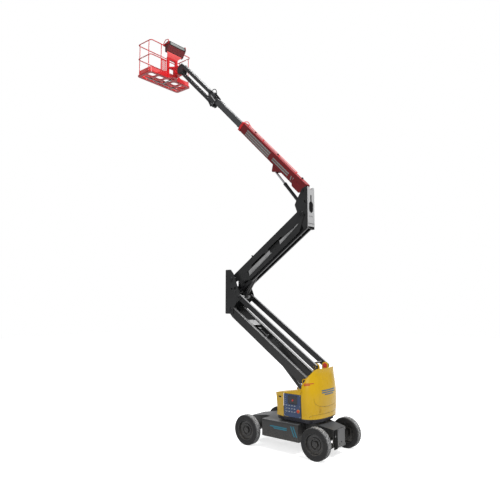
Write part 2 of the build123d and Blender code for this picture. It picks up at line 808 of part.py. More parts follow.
# =====================================================================================
# Upper stage
# =====================================================================================
upper_cylinder_along = 1250
upper_cylinder_up = -120
upper_back = 180 - upper_angle
with BuildPart() as upper_arm:
    for side in (1, -1):
        with BuildSketch(arm_plane(upper_pivot, upper_back, side * upper_plate_inside)) as face:
            with BuildLine():
                Polyline(
                    (0, upper_above), (upper_length, upper_above), (upper_length + 90, 20),
                    (upper_length + 40, -110), (upper_length - 330, -upper_below),
                    (500, -upper_below), (90, -110), (-90, -90), (-120, 40), close=True)
            make_face()
            fillet(face.vertices(), 40)
            # long windows either side of a solid bridge
            for window in (1090, 1855):
                with Locations((window, -120)):
                    SlotOverall(640, 125, mode=Mode.SUBTRACT)
        extrude(amount=upper_plate, dir=(0, side, 0))
        # folded rims along the upper and lower edges
        for up in (upper_above - 6, -upper_below + 6):
            with BuildSketch(arm_plane(upper_pivot, upper_back, side * (upper_plate_inside - 40))):
                with Locations(((upper_length + 60) / 2, up)):
                    Rectangle(upper_length - 1050, 12)
            extrude(amount=42, dir=(0, side, 0))
        # cheeks and gusset for the lift cylinder's rod eye
        with BuildSketch(arm_plane(upper_pivot, upper_back, side * cheek_inside)):
            with Locations((upper_cylinder_along, upper_cylinder_up)):
                Circle(72)
            with Locations((upper_cylinder_along + 110, upper_cylinder_up + 20)):
                Rectangle(220, 104)
        extrude(amount=cheek_plate, dir=(0, side, 0))
        with BuildSketch(arm_plane(upper_pivot, upper_back, side * (cheek_inside + cheek_plate))):
            with Locations((upper_cylinder_along + 200, upper_cylinder_up + 20)):
                Rectangle(24, 104)
        extrude(amount=upper_plate_inside - cheek_inside - cheek_plate, dir=(0, side, 0))
    for along in (650, 2300):
        with BuildSketch(arm_plane(upper_pivot, upper_back, -upper_plate_inside)):
            with Locations((along, -118)):
                RectangleRounded(140, 44, 12)
        extrude(amount=2 * upper_plate_inside, dir=(0, 1, 0))
    # pivot bosses fill the gap to the mid riser plates
    add(mirrored_pins(upper_pivot, 88, upper_plate_inside, riser_plate_inside - seat_gap))
    add(mirrored_pins(head_pivot, 80, upper_plate_inside, upper_plate_inside + upper_plate + 12))
    add(pin_at(upper_pivot, pin_radius + 6 + pin_play, -400, 400), mode=Mode.SUBTRACT)
    add(pin_at(head_pivot, pin_radius + pin_play, -400, 400), mode=Mode.SUBTRACT)
    rod_point = on_arm(upper_pivot, upper_back, upper_cylinder_along, upper_cylinder_up)
    add(mirrored_pins(rod_point, 30, eye_half_width + eye_gap, cheek_inside + cheek_plate + 10))
save("upper_arm", upper_arm.part)

with BuildPart() as upper_ties:
    for side in (1, -1):
        with BuildSketch(arm_plane(upper_tie_foot, upper_back, side * upper_tie_inside)):
            add(bar_outline(upper_length, upper_tie_depth / 2, upper_tie_depth / 2, 46, 30))
        extrude(amount=upper_tie_width, dir=(0, side, 0))
    for point in (upper_tie_foot, upper_tie_top):
        add(pin_at(point, 30 + pin_play, -400, 400), mode=Mode.SUBTRACT)
    add(pin_at(on_arm(upper_tie_foot, upper_back, 2700, 0), 20, -upper_tie_inside, upper_tie_inside))
save("upper_ties", upper_ties.part)

# upper riser: side plates, folded back plate with a scalloped top, and cross shafts
head_back = boom_pivot[0] - 146
head_top = boom_pivot[1] + 74
boom_cylinder_foot = (-300, 6500)
head_outline = (
    (head_back, upper_tie_top[1] - 50), (head_back, head_top), (boom_pivot[0] - 40, head_top),
    (boom_pivot[0] + 57, boom_pivot[1] - 7), (-178, 6687), (-119, 6567), (-202, 6346),
    (head_pivot[0] + 70, head_pivot[1] - 90), (upper_tie_top[0] + 62, upper_tie_top[1] - 50),
)
with BuildPart() as upper_riser:
    for side in (1, -1):
        with BuildSketch(side_plane(side * head_plate_inside)) as face:
            with BuildLine():
                Polyline(*head_outline, close=True)
            make_face()
            fillet(face.vertices(), 24)
            with Locations((head_back + 95, 6620)):
                SlotOverall(90, 40, rotation=60, mode=Mode.SUBTRACT)
        extrude(amount=head_plate, dir=(0, side, 0))
    with BuildSketch(Plane.YZ.offset(head_back)):
        with Locations((0, (head_top + upper_tie_top[1]) / 2 + 10)):
            RectangleRounded(2 * (head_plate_inside + head_plate), head_top - upper_tie_top[1] - 20, 20)
        with Locations((0, head_top + 60)):
            Circle(120, mode=Mode.SUBTRACT)
        with Locations((0, 6640)):
            SlotOverall(360, 60, rotation=90, mode=Mode.SUBTRACT)
        with Locations((-70, 6215), (0, 6215), (70, 6215)):
            SlotOverall(44, 16, mode=Mode.SUBTRACT)
    extrude(amount=12)
    add(pin_at(boom_pivot, 36, -head_plate_inside - head_plate - 12, head_plate_inside + head_plate + 12))
    add(pin_at(boom_cylinder_foot, 30, -head_plate_inside, head_plate_inside))
    add(pin_at(upper_tie_top, 30, -head_plate_inside - head_plate - 6,
               head_plate_inside + head_plate + 6))
    add(mirrored_pins(head_pivot, pin_radius, head_plate_inside,
                      upper_plate_inside + upper_plate + 20))
    add(mirrored_pins(upper_tie_top, 44, upper_tie_inside + upper_tie_width + seat_gap,
                      head_plate_inside))
save("upper_riser", upper_riser.part)

# =====================================================================================
# Telescopic boom
# =====================================================================================
boom_back = boom_depth / 2
boom_eye = (1300, -252)
boom_eye_point = on_arm(boom_pivot, boom_angle, *boom_eye)
pad_gap = 0.5


def boom_ring(along, length, width, depth, hole_width, hole_depth):
    """Rectangular ring around the boom axis; local Z of its sketch runs along the boom."""
    origin = on_arm(boom_pivot, boom_angle, along, 0)
    ux, uz = vector(boom_angle)
    plane = Plane(origin=(origin[0], 0, origin[1]), x_dir=(0, 1, 0), z_dir=(ux, 0, uz))
    with BuildPart(mode=Mode.PRIVATE) as ring:
        with BuildSketch(plane):
            RectangleRounded(width, depth, 14)
            if hole_width:
                RectangleRounded(hole_width, hole_depth, 8, mode=Mode.SUBTRACT)
        extrude(amount=length)
    return ring.part


with BuildPart() as main_boom:
    add(boom_ring(60, boom_length - 60, boom_width, boom_depth,
                  boom_width - 2 * boom_wall, boom_depth - 2 * boom_wall))
    add(boom_ring(60, 40, boom_width, boom_depth, 0, 0))
    # doubler plates around the root
    with BuildSketch(arm_plane(boom_pivot, boom_angle, -boom_width / 2 - 6)):
        with BuildLine():
            Polyline(
                (20, -boom_back), (20, 60), (90, boom_back + 6), (440, boom_back + 6), (520, 60),
                (520, -60), (440, -boom_back - 6), (60, -boom_back - 6), close=True)
        make_face()
        with Locations((300, 0)):
            SlotOverall(150, 60, mode=Mode.SUBTRACT)
    extrude(amount=boom_width + 12, dir=(0, 1, 0))
    add(boom_ring(100, boom_length - 100, boom_width - 2 * boom_wall, boom_depth - 2 * boom_wall,
                  0, 0), mode=Mode.SUBTRACT)
    add(pin_at(boom_pivot, 75, -head_plate_inside + 2, head_plate_inside - 2))
    add(pin_at(boom_pivot, 36 + pin_play, -400, 400), mode=Mode.SUBTRACT)
    # deep skirts under the root, and the bracket for the lift cylinder
    for side in (1, -1):
        with BuildSketch(arm_plane(boom_pivot, boom_angle, side * (boom_width / 2 - 12))):
            with BuildLine():
                Polyline((40, -boom_back + 20), (500, -boom_back + 20), (420, -boom_back - 46),
                         (110, -boom_back - 46), close=True)
            make_face()
        extrude(amount=18, dir=(0, side, 0))
        with BuildSketch(arm_plane(boom_pivot, boom_angle, side * cheek_inside)):
            with BuildLine():
                Polyline(
                    (boom_eye[0] - 230, -boom_back + 1), (boom_eye[0] + 130, -boom_back + 1),
                    (boom_eye[0] + 44, boom_eye[1] - 30), (boom_eye[0] - 48, boom_eye[1] - 24),
                    close=True)
            make_face()
            with Locations(boom_eye):
                Circle(52)
        extrude(amount=cheek_plate, dir=(0, side, 0))
    add(mirrored_pins(boom_eye_point, 24, eye_half_width + eye_gap, cheek_inside + cheek_plate + 10))
save("main_boom", main_boom.part)

save("boom_collar", boom_ring(boom_length - 84, 84, boom_width + 18, boom_depth + 18,
                              boom_width + 2 * seat_gap, boom_depth + 2 * seat_gap))
save("wear_pads", boom_ring(boom_length - 66, 60, boom_width - 2 * boom_wall - 2 * seat_gap,
                            boom_depth - 2 * boom_wall - 2 * seat_gap,
                            fly_width + 2 * pad_gap, fly_depth + 2 * pad_gap))

# hose rail along the top of the boom
rail_height = boom_back + 44
with BuildPart() as hose_guide:
    start = on_arm(boom_pivot, boom_angle, 600, rail_height)
    ux, uz = vector(boom_angle)
    with BuildSketch(Plane(origin=(start[0], 0, start[1]), z_dir=(ux, 0, uz))):
        Circle(10)
    extrude(amount=2600)
    for along in (640, 1480, 2320, 3160):
        with BuildSketch(arm_plane(boom_pivot, boom_angle, -10)):
            with Locations((along, (rail_height + boom_back + seat_gap) / 2)):
                Rectangle(40, rail_height - boom_back - seat_gap)
        extrude(amount=20, dir=(0, 1, 0))
save("hose_guide", hose_guide.part)

# inner boom with its rear slide pads and forked nose
nose_pin = on_arm(boom_pivot, boom_angle, 4945, 18)
fly_tip = boom_length + fly_reach
fly_tail = boom_length - fly_overlap
with BuildPart() as fly_boom:
    add(boom_ring(fly_tail, fly_tip - fly_tail, fly_width, fly_depth, fly_width - 12, fly_depth - 12))
    add(boom_ring(fly_tail, 60, boom_width - 2 * boom_wall - 2 * pad_gap,
                  boom_depth - 2 * boom_wall - 2 * pad_gap, fly_width - 12, fly_depth - 12))
    add(boom_ring(fly_tip - 8, 8, fly_width, fly_depth, 0, 0))
    # nose collar and fork
    add(boom_ring(fly_tip - 70, 44, fly_width + 16, fly_depth + 16, fly_width, fly_depth))
    for side in (1, -1):
        with BuildSketch(arm_plane(boom_pivot, boom_angle, side * 45)):
            with BuildLine():
                Polyline(
                    (fly_tip - 8, -fly_depth / 2), (fly_tip - 8, fly_depth / 2), (4930, 92),
                    (5010, 60), (5010, -20), (4900, -84), close=True)
            make_face()
        extrude(amount=fly_width / 2 - 45, dir=(0, side, 0))
        with BuildSketch(arm_plane(boom_pivot, boom_angle, 0)):
            with Locations((4945, 18)):
                Circle(62)
        extrude(amount=side * fly_width / 2, dir=(0, -1, 0))
    add(pin_at(nose_pin, 30 + pin_play, -400, 400), mode=Mode.SUBTRACT)
save("fly_boom", fly_boom.part)

# =====================================================================================
# Jib
# =====================================================================================
jib_foot = (3330, 10490)
jib_bar_foot = on_arm(jib_foot, jib_angle, jib_lead, jib_spread)
jib_head_pivot = plus(jib_foot, vector(jib_angle, jib_length))
jib_bar_head = plus(jib_bar_foot, vector(jib_angle, jib_length))
jib_cylinder_foot = plus(jib_foot, (-80, -160))
jib_plate_inside = 92
jib_plate = 14
jib_outer = jib_plate_inside + jib_plate + 8
with BuildPart() as jib_base:
    for side in (1, -1):
        with BuildSketch(side_plane(side * jib_plate_inside)) as face:
            with BuildLine():
                Polyline(
                    (nose_pin[0] - 70, nose_pin[1] - 30), (nose_pin[0] - 60, nose_pin[1] + 70),
                    (jib_bar_foot[0] - 70, jib_bar_foot[1] + 60),
                    (jib_bar_foot[0] + 58, jib_bar_foot[1] + 50),
                    (jib_foot[0] + 66, jib_foot[1] + 10), (jib_foot[0] + 36, jib_foot[1] - 60),
                    (jib_cylinder_foot[0] + 40, jib_cylinder_foot[1] - 38),
                    (jib_cylinder_foot[0] - 40, jib_cylinder_foot[1] - 34),
                    (nose_pin[0] + 40, nose_pin[1] - 76), (nose_pin[0] - 50, nose_pin[1] - 70),
                    close=True)
            make_face()
            fillet(face.vertices(), 26)
        extrude(amount=jib_plate, dir=(0, side, 0))
    add(pin_at(nose_pin, 30, -jib_outer, jib_outer))
    add(mirrored_pins(jib_foot, 30, 51, jib_outer))
    add(mirrored_pins(jib_bar_foot, 26, 73, jib_outer))
    add(pin_at(jib_cylinder_foot, 24, -jib_outer, jib_outer))
    # collars that centre the nose, bars and cylinder between the plates
    add(mirrored_pins(nose_pin, 46, fly_width / 2 + seat_gap, jib_plate_inside))
    add(mirrored_pins(jib_foot, 46, 65 + seat_gap, jib_plate_inside))
    add(mirrored_pins(jib_cylinder_foot, 30, 30 + seat_gap, jib_plate_inside))
save("jib_base", jib_base.part)

# lower jib bar: open-topped channel, closed below from the middle on
jib_eye = (1180, 0)
jib_above = 50
jib_below = 56
with BuildPart() as jib:
    for side in (1, -1):
        with BuildSketch(arm_plane(jib_foot, jib_angle, side * 53)):
            add(bar_outline(jib_length, jib_above, jib_below, 52, 130))
        extrude(amount=12, dir=(0, side, 0))
    with BuildSketch(arm_plane(jib_foot, jib_angle, -53)):
        with Locations(((jib_eye[0] + 90 + jib_length - 150) / 2, 4 - jib_below)):
            Rectangle(jib_length - 240 - jib_eye[0], 8)
    extrude(amount=106, dir=(0, 1, 0))
    with BuildSketch(arm_plane(jib_foot, jib_angle, -53)):
        with Locations((jib_length - 190, 0)):
            Rectangle(16, jib_above + jib_below - 16)
    extrude(amount=106, dir=(0, 1, 0))
    for point in (jib_foot, jib_head_pivot):
        add(pin_at(point, 30 + pin_play, -400, 400), mode=Mode.SUBTRACT)
    eye_point = on_arm(jib_foot, jib_angle, *jib_eye)
    add(mirrored_pins(eye_point, 22, 30 + eye_gap, 54))
save("jib", jib.part)

# upper jib bar: inverted channel, wide enough to fold down over the lower one
bar_above = 62
bar_below = 46
with BuildPart() as jib_bar:
    for side in (1, -1):
        with BuildSketch(arm_plane(jib_bar_foot, jib_angle, side * 75)):
            add(bar_outline(jib_length, bar_above, bar_below, 48, 120))
        extrude(amount=12, dir=(0, side, 0))
    with BuildSketch(arm_plane(jib_bar_foot, jib_angle, -75)):
        with Locations((jib_length / 2, bar_above - 4)):
            Rectangle(jib_length - 300, 8)
    extrude(amount=150, dir=(0, 1, 0))
    for point in (jib_bar_foot, jib_bar_head):
        add(pin_at(point, 26 + pin_play, -400, 400), mode=Mode.SUBTRACT)
save("jib_bar", jib_bar.part)

# =====================================================================================
# Lift cylinders
# =====================================================================================
cylinders = (
    # name, foot, eye, barrel length, rod tail, barrel radius, rod radius, foot bore, eye bore,
    # half width of the eyes
    ("lower", lower_cylinder_foot, on_arm(lower_pivot, lower_angle, lower_cylinder_along,
     lower_cylinder_up), 1640, 1290, 64, 36, 32, 32, eye_half_width),
    ("upper", tie_top, on_arm(upper_pivot, upper_back, upper_cylinder_along, upper_cylinder_up),
     900, 492, 60, 34, pin_radius, 32, eye_half_width),
    ("boom", boom_cylinder_foot, boom_eye_point, 1000, 640, 48, 30, 30, 26, eye_half_width),
    ("jib", jib_cylinder_foot, eye_point, 820, 560, 38, 22, 24, 24, 30),
)
rod_play = 0.4
for (name, foot, eye, barrel_length, rod_tail, barrel_radius, rod_radius, foot_bore, eye_bore,
     half_width) in cylinders:
    reach = hypot(eye[0] - foot[0], eye[1] - foot[1])
    tilt = degrees(atan2(eye[1] - foot[1], eye[0] - foot[0]))
    axis = vector(tilt)
    foot_boss = foot_bore + 0.4 * foot_bore + 8
    eye_boss = eye_bore + 0.3 * eye_bore + 8

    def axial(along):
        origin = plus(foot, vector(tilt, along))
        return Plane(origin=(origin[0], 0, origin[1]), x_dir=(0, 1, 0), z_dir=(axis[0], 0, axis[1]))

    with BuildPart() as barrel:
        with BuildSketch(axial(foot_boss - 4)):
            Circle(barrel_radius)
        extrude(amount=barrel_length - foot_boss + 4)
        with BuildSketch(axial(barrel_length - 70)):
            Circle(barrel_radius + 5)
        extrude(amount=70)
        add(pin_at(foot, foot_boss, -half_width, half_width))
        with BuildSketch(axial(foot_boss + 8)):
            Circle(rod_radius + rod_play)
        extrude(amount=barrel_length, mode=Mode.SUBTRACT)
        add(pin_at(foot, foot_bore + pin_play, -90, 90), mode=Mode.SUBTRACT)
    save(f"{name}_barrel", barrel.part)
    with BuildPart() as rod:
        with BuildSketch(axial(rod_tail)):
            Circle(rod_radius)
        extrude(amount=reach - rod_tail - eye_bore - 2)
        add(pin_at(eye, eye_boss, -half_width, half_width))
        add(pin_at(eye, eye_bore, -90, 90), mode=Mode.SUBTRACT)
    save(f"{name}_rod", rod.part)

# =====================================================================================
# Jib head, rotator and platform
# =====================================================================================
rotator_x = 5150
rotator_low = 11905
rotator_high = 12215
basket_rear = basket_centre - basket_length / 2
basket_front = basket_centre + basket_length / 2
basket_top = basket_floor + basket_height
rail_x0 = basket_rear + rail_radius
rail_x1 = basket_front - rail_radius
rail_y = basket_width / 2 - rail_radius
head_x0 = jib_head_pivot[0]
housing_rear = 4930
with BuildPart() as jib_head:
    for side in (1, -1):
        with BuildSketch(side_plane(side * jib_plate_inside)) as face:
            with BuildLine():
                Polyline(
                    (jib_bar_head[0] - 56, jib_bar_head[1] - 20),
                    (jib_bar_head[0] - 20, jib_bar_head[1] + 52),
                    (jib_bar_head[0] + 50, jib_bar_head[1] + 46), (housing_rear + 20, rotator_high - 70),
                    (housing_rear + 20, rotator_low + 50), (head_x0 + 60, jib_head_pivot[1] - 48),
                    (head_x0 - 52, jib_head_pivot[1] - 30), close=True)
            make_face()
            fillet(face.vertices(), 24)
            with Locations(jib_head_pivot, jib_bar_head):
                Circle(56)
        extrude(amount=jib_plate, dir=(0, side, 0))
    with BuildSketch(Plane.YZ.offset(housing_rear)):
        with Locations((0, (rotator_low + rotator_high) / 2 - 12)):
            Rectangle(2 * jib_plate_inside + 2, rotator_high - rotator_low - 130)
    extrude(amount=20)
    add(mirrored_pins(jib_head_pivot, 30, 51, jib_outer))
    add(mirrored_pins(jib_bar_head, 26, 73, jib_outer))
    add(mirrored_pins(jib_head_pivot, 46, 65 + seat_gap, jib_plate_inside))
save("jib_head", jib_head.part)

# rotator: worm-drive housing bolted to the head, with its vertical shaft
with BuildPart() as rotator_housing:
    with BuildSketch(Plane.XY.offset(rotator_low)):
        with Locations((rotator_x, 0)):
            Circle(105)
        with Locations(((housing_rear + 20 + seat_gap + rotator_x) / 2, 0)):
            Rectangle(rotator_x - housing_rear - 20 - seat_gap, 190)
    extrude(amount=rotator_high - rotator_low)
    # worm motor lying across the housing
    with BuildSketch(Plane.XZ):
        with Locations((rotator_x - 96, rotator_low + 96)):
            Circle(52)
    extrude(amount=170, both=True)
    with BuildSketch(Plane.XY.offset(rotator_low - 60)):
        with Locations((rotator_x, 0)):
            Circle(42)
    extrude(amount=rotator_high - rotator_low + 120)
save("rotator_housing", rotator_housing.part)

# platform mount: upper and lower yokes on the rotator shaft, joined by an upright frame
with BuildPart() as platform_mount:
    for height in (rotator_low - 45, rotator_high + seat_gap):
        with BuildSketch(Plane.XY.offset(height)):
            with BuildLine():
                Polyline(
                    (rotator_x, -70), (basket_rear - 30, -230), (basket_rear - 30, 230),
                    (rotator_x, 70), close=True)
            make_face()
            with Locations((rotator_x, 0)):
                Circle(70)
                Circle(42 + pin_play, mode=Mode.SUBTRACT)
            with Locations(((rotator_x + basket_rear) / 2 + 40, 0)):
                RectangleRounded(70, 170, 20, mode=Mode.SUBTRACT)
        extrude(amount=45 - seat_gap)
    for side in (1, -1):
        with BuildSketch(Plane.XY.offset(basket_floor)):
            with Locations((basket_rear - 30, side * 185)):
                Rectangle(60 - 2 * seat_gap, 90)
        extrude(amount=760)
        # triangular plates from the lower yoke out along the platform's edge
        with BuildSketch(Plane.YZ.offset(basket_rear - 40)):
            with BuildLine():
                Polyline((side * 200, basket_floor), (side * 200, basket_floor + 260),
                         (side * 640, basket_floor + 60), (side * 640, basket_floor), close=True)
            make_face()
        extrude(amount=12)
    for height in (basket_floor, basket_floor + 700):
        with BuildSketch(Plane.XY.offset(height)):
            with Locations((basket_rear - 30, 0)):
                Rectangle(60 - 2 * seat_gap, 460)
        extrude(amount=60)
save("platform_mount", platform_mount.part)

# platform floor: open frame with rounded cells, its deck raised inside the toe boards
floor_plate = 40
deck_raise = 3
toe_height = 160
toe_length = basket_length - 2 * (2 * rail_radius + seat_gap)
toe_width = basket_width - 2 * (2 * rail_radius + seat_gap)
with BuildPart() as platform_floor:
    for length, width, corner, thickness in (
            (basket_length, basket_width, 90, floor_plate),
            (toe_length - 14, toe_width - 14, 53, floor_plate + deck_raise)):
        with BuildSketch(Plane.XY.offset(basket_floor)):
            with Locations((basket_centre, 0)):
                RectangleRounded(length, width, corner)
        extrude(amount=thickness)
    with BuildSketch(Plane.XY.offset(basket_floor)):
        with Locations((basket_centre, 0)):
            with GridLocations(310, 350, 2, 5):
                RectangleRounded(250, 285, 90, mode=Mode.ADD)
    extrude(amount=floor_plate + deck_raise, mode=Mode.SUBTRACT)
save("platform_floor", platform_floor.part)

floor_bars = (
    # name, centre x, centre y, length x, width y
    ("floor_bar_long", basket_centre + 115, 0, 50, 1560),
    ("floor_bar_cross", basket_centre - 140, 0, 430, 50),
)
for name, bar_x, bar_y, bar_length, bar_width in floor_bars:
    with BuildPart() as floor_bar:
        with BuildSketch(Plane.XY.offset(basket_floor - seat_gap)):
            with Locations((bar_x, bar_y)):
                RectangleRounded(bar_length, bar_width, 6)
        extrude(amount=-24)
    save(name, floor_bar.part)


def rail_hoop(height, end, start):
    """Half a rail: from x = start on the right side, round x = end, to the left side's middle."""
    with BuildPart(mode=Mode.PRIVATE) as hoop:
        with BuildLine(Plane.XY.offset(height)) as path:
            FilletPolyline(
                (start, -rail_y), (end, -rail_y), (end, rail_y), (basket_centre, rail_y), radius=90)
        toward = 1 if end > start else -1
        with BuildSketch(Plane(origin=(start, -rail_y, height), z_dir=(toward, 0, 0))):
            Circle(rail_radius)
        sweep(path=path.line)
    return hoop.part


entry_inset = 110
rail_low = basket_floor + floor_plate + seat_gap
rail_high = basket_top - rail_radius
mid_rail = basket_floor + 640
entry_x0 = rail_x0 + entry_inset
entry_x1 = rail_x1 - entry_inset
bar_y = -rail_y + rail_radius + 6 + 13
posts = (
    # x, y
    (entry_x0, rail_y), (entry_x1, rail_y), (entry_x1, -rail_y), (entry_x0, -rail_y),
    (rail_x0, 470), (rail_x0, -290),
)
with BuildPart() as platform_rails:
    for end, entry_end in ((rail_x0, entry_x0), (rail_x1, entry_x1)):
        add(rail_hoop(rail_high, end, basket_centre))
        add(rail_hoop(mid_rail, end, entry_end))
    with BuildSketch(Plane.XY.offset(rail_low)):
        with Locations(*posts):
            Circle(post_radius)
    extrude(amount=rail_high - rail_low)
    # hinge pin and rest for the entry bar
    add(pin_at((entry_x0, mid_rail), 8, -rail_y, bar_y + 20))
    add(pin_at((entry_x1, mid_rail - 13 - seat_gap - 8), 8, -rail_y, bar_y + 14))
save("platform_rails", platform_rails.part)

# toe boards just inside the posts
with BuildPart() as toe_boards:
    with BuildSketch(Plane.XY.offset(rail_low)):
        with Locations((basket_centre, 0)):
            RectangleRounded(toe_length, toe_width, 60)
            RectangleRounded(toe_length - 10, toe_width - 10, 55, mode=Mode.SUBTRACT)
    extrude(amount=toe_height)
save("toe_boards", toe_boards.part)

# drop bar across the entry bay, hinged on the rear post
with BuildPart() as entry_bar:
    with BuildSketch(Plane.YZ.offset(entry_x0)):
        with Locations((bar_y, mid_rail)):
            Circle(13)
    extrude(amount=entry_x1 - entry_x0 + 20)
    add(pin_at((entry_x0, mid_rail), 20, bar_y - 13, bar_y + 13))
    add(pin_at((entry_x0, mid_rail), 8 + pin_play, bar_y - 20, bar_y + 20), mode=Mode.SUBTRACT)
save("entry_bar", entry_bar.part)

# control console, hung outboard of the rear rail and lapping over it
console_side = -90
console_half = 400
console_low = basket_top - 250
with BuildPart() as console:
    with BuildSketch(Plane.XZ.offset(-console_side - console_half)) as face:
        with BuildLine():
            Polyline(
                (basket_rear - 12, console_low), (basket_rear - 70, console_low + 30),
                (basket_rear - 205, basket_top - 30), (basket_rear - 222, basket_top + 80),
                (basket_rear - 190, basket_top + 118), (basket_rear + 110, basket_top + 44),
                (basket_rear + 110, basket_top + seat_gap),
                (basket_rear - seat_gap, basket_top + seat_gap),
                (basket_rear - seat_gap, console_low), close=True)
        make_face()
        fillet(face.vertices().filter_by_position(Axis.X, 0, basket_rear - 50), 14)
    extrude(amount=2 * console_half)
    # shallow trays for the switches and the label plate
    with BuildSketch(Plane.XY.offset(basket_top + 60)):
        with Locations((basket_rear + 20, console_side)):
            RectangleRounded(130, 2 * console_half - 120, 16)
    extrude(amount=80, mode=Mode.SUBTRACT)
save("console", console.part)

# guard loops at the ends of the console
for name, side in (("left", 1), ("right", -1)):
    with BuildPart() as guard:
        with BuildSketch(side_plane(console_side + side * (console_half + seat_gap))) as ring:
            with BuildLine():
                Polyline(
                    (basket_rear - 210, basket_top + 10), (basket_rear - 190, basket_top + 170),
                    (basket_rear - 20, basket_top + 190), (basket_rear + 90, basket_top + 60),
                    (basket_rear + 90, basket_top + 10), close=True)
            make_face()
            fillet(ring.vertices(), 22)
            offset(amount=-18, kind=Kind.INTERSECTION, mode=Mode.SUBTRACT)
        extrude(amount=18, dir=(0, side, 0))
    save(f"console_guard_{name}", guard.part)

# bowed plate that carries the console from the mount's upper bar
support_low = basket_floor + 760 + seat_gap
with BuildPart() as console_support:
    with BuildSketch(Plane.XZ):
        with BuildLine():
            ThreePointArc(
                (basket_rear - 66, console_low + 20), (basket_rear - 52, (console_low + support_low) / 2),
                (basket_rear - 10, support_low))
            Line((basket_rear - 10, support_low), (basket_rear - 22, support_low))
            ThreePointArc(
                (basket_rear - 22, support_low), (basket_rear - 62, (console_low + support_low) / 2),
                (basket_rear - 76, console_low + 20))
            Line((basket_rear - 76, console_low + 20), (basket_rear - 66, console_low + 20))
        make_face()
    extrude(amount=console_half + 200, both=True)
    with BuildSketch(Plane.YZ):
        with BuildLine():
            Polyline(
                (-225, support_low), (225, support_low),
                (console_side + console_half - 20, console_low + 60),
                (console_side - console_half + 20, console_low + 60), close=True)
        make_face()
    extrude(amount=basket_front, mode=Mode.INTERSECT)
save("console_support", console_support.part)

# slatted panel beside the mount, between the floor and the middle rail
panel_y0, panel_y1 = 236, 452
panel_z0, panel_z1 = basket_floor + floor_plate + seat_gap, mid_rail - rail_radius - seat_gap
with BuildPart() as mesh_panel:
    panel_y, panel_z = (panel_y0 + panel_y1) / 2, (panel_z0 + panel_z1) / 2
    panel_width, panel_height = panel_y1 - panel_y0, panel_z1 - panel_z0
    with BuildSketch(Plane.YZ.offset(rail_x0 - 4)):
        with Locations((panel_y, panel_z)):
            Rectangle(panel_width, panel_height)
            Rectangle(panel_width - 36, panel_height - 36, mode=Mode.SUBTRACT)
    extrude(amount=8)
    with BuildSketch(Plane.YZ.offset(rail_x0 - 4)):
        with Locations((panel_y, panel_z)):
            with GridLocations(1, 66, 1, 11):
                Rectangle(2 * panel_width, 20, rotation=50)
            Rectangle(panel_width - 10, panel_height - 10, mode=Mode.INTERSECT)
    extrude(amount=8)
save("mesh_panel", mesh_panel.part)
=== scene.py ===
import bpy
from math import atan2, cos, pi, radians, sin
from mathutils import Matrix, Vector


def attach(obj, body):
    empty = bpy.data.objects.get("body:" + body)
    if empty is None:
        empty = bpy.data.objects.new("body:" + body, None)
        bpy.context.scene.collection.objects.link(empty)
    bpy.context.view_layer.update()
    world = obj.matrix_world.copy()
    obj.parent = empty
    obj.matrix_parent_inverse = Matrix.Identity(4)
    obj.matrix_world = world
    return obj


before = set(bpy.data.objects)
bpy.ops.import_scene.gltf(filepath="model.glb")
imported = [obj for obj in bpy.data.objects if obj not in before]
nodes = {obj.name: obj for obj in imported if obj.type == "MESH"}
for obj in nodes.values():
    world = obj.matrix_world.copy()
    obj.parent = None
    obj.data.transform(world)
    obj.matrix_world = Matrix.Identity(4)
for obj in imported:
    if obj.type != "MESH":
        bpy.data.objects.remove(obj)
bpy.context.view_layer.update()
axisTurns = {"X": (0, pi / 2, 0), "Y": (pi / 2, 0, 0), "Z": (0, 0, 0)}
sides = ((1, "left"), (-1, "right"))
wheels = ("drive_left", "drive_right", "steer_left", "steer_right")


def deselectAll():
    if bpy.context.object and bpy.context.object.mode != "OBJECT":
        bpy.ops.object.mode_set(mode="OBJECT")
    bpy.ops.object.select_all(action="DESELECT")


def activate(*pieces):
    deselectAll()
    for piece in pieces:
        piece.select_set(True)
    bpy.context.view_layer.objects.active = pieces[0]


def bake(piece):
    activate(piece)
    bpy.ops.object.transform_apply(location=True, rotation=True, scale=True)


def modify(piece, kind, **values):
    activate(piece)
    modifier = piece.modifiers.new(kind.title(), kind)
    for key, value in values.items():
        setattr(modifier, key, value)
    bpy.ops.object.modifier_apply(modifier=modifier.name)


def leaveEdit():
    bpy.ops.object.mode_set(mode="OBJECT")


# names, paints and puts on its body one piece, or a list joined into one
def finishPiece(piece, name, body, finish):
    if isinstance(piece, list):
        piece = joinPieces(piece)
    bake(piece)
    piece.name = name
    piece.data.name = name
    piece.data.materials.clear()
    piece.data.materials.append(mats[finish])
    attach(piece, body)


def joinPieces(pieces):
    activate(*pieces)
    if len(pieces) > 1:
        bpy.ops.object.join()
    return pieces[0]


def block(centre, size, turn=(0, 0, 0), bevel=0.004):
    deselectAll()
    bpy.ops.mesh.primitive_cube_add(size=1, location=centre, rotation=turn)
    piece = bpy.context.object
    piece.scale = size
    bpy.ops.object.transform_apply(location=False, rotation=False, scale=True)
    if bevel:
        bpy.ops.object.mode_set(mode="EDIT")
        bpy.ops.mesh.select_all(action="SELECT")
        bpy.ops.mesh.bevel(offset=bevel, segments=2, affect="EDGES")
        leaveEdit()
    return piece


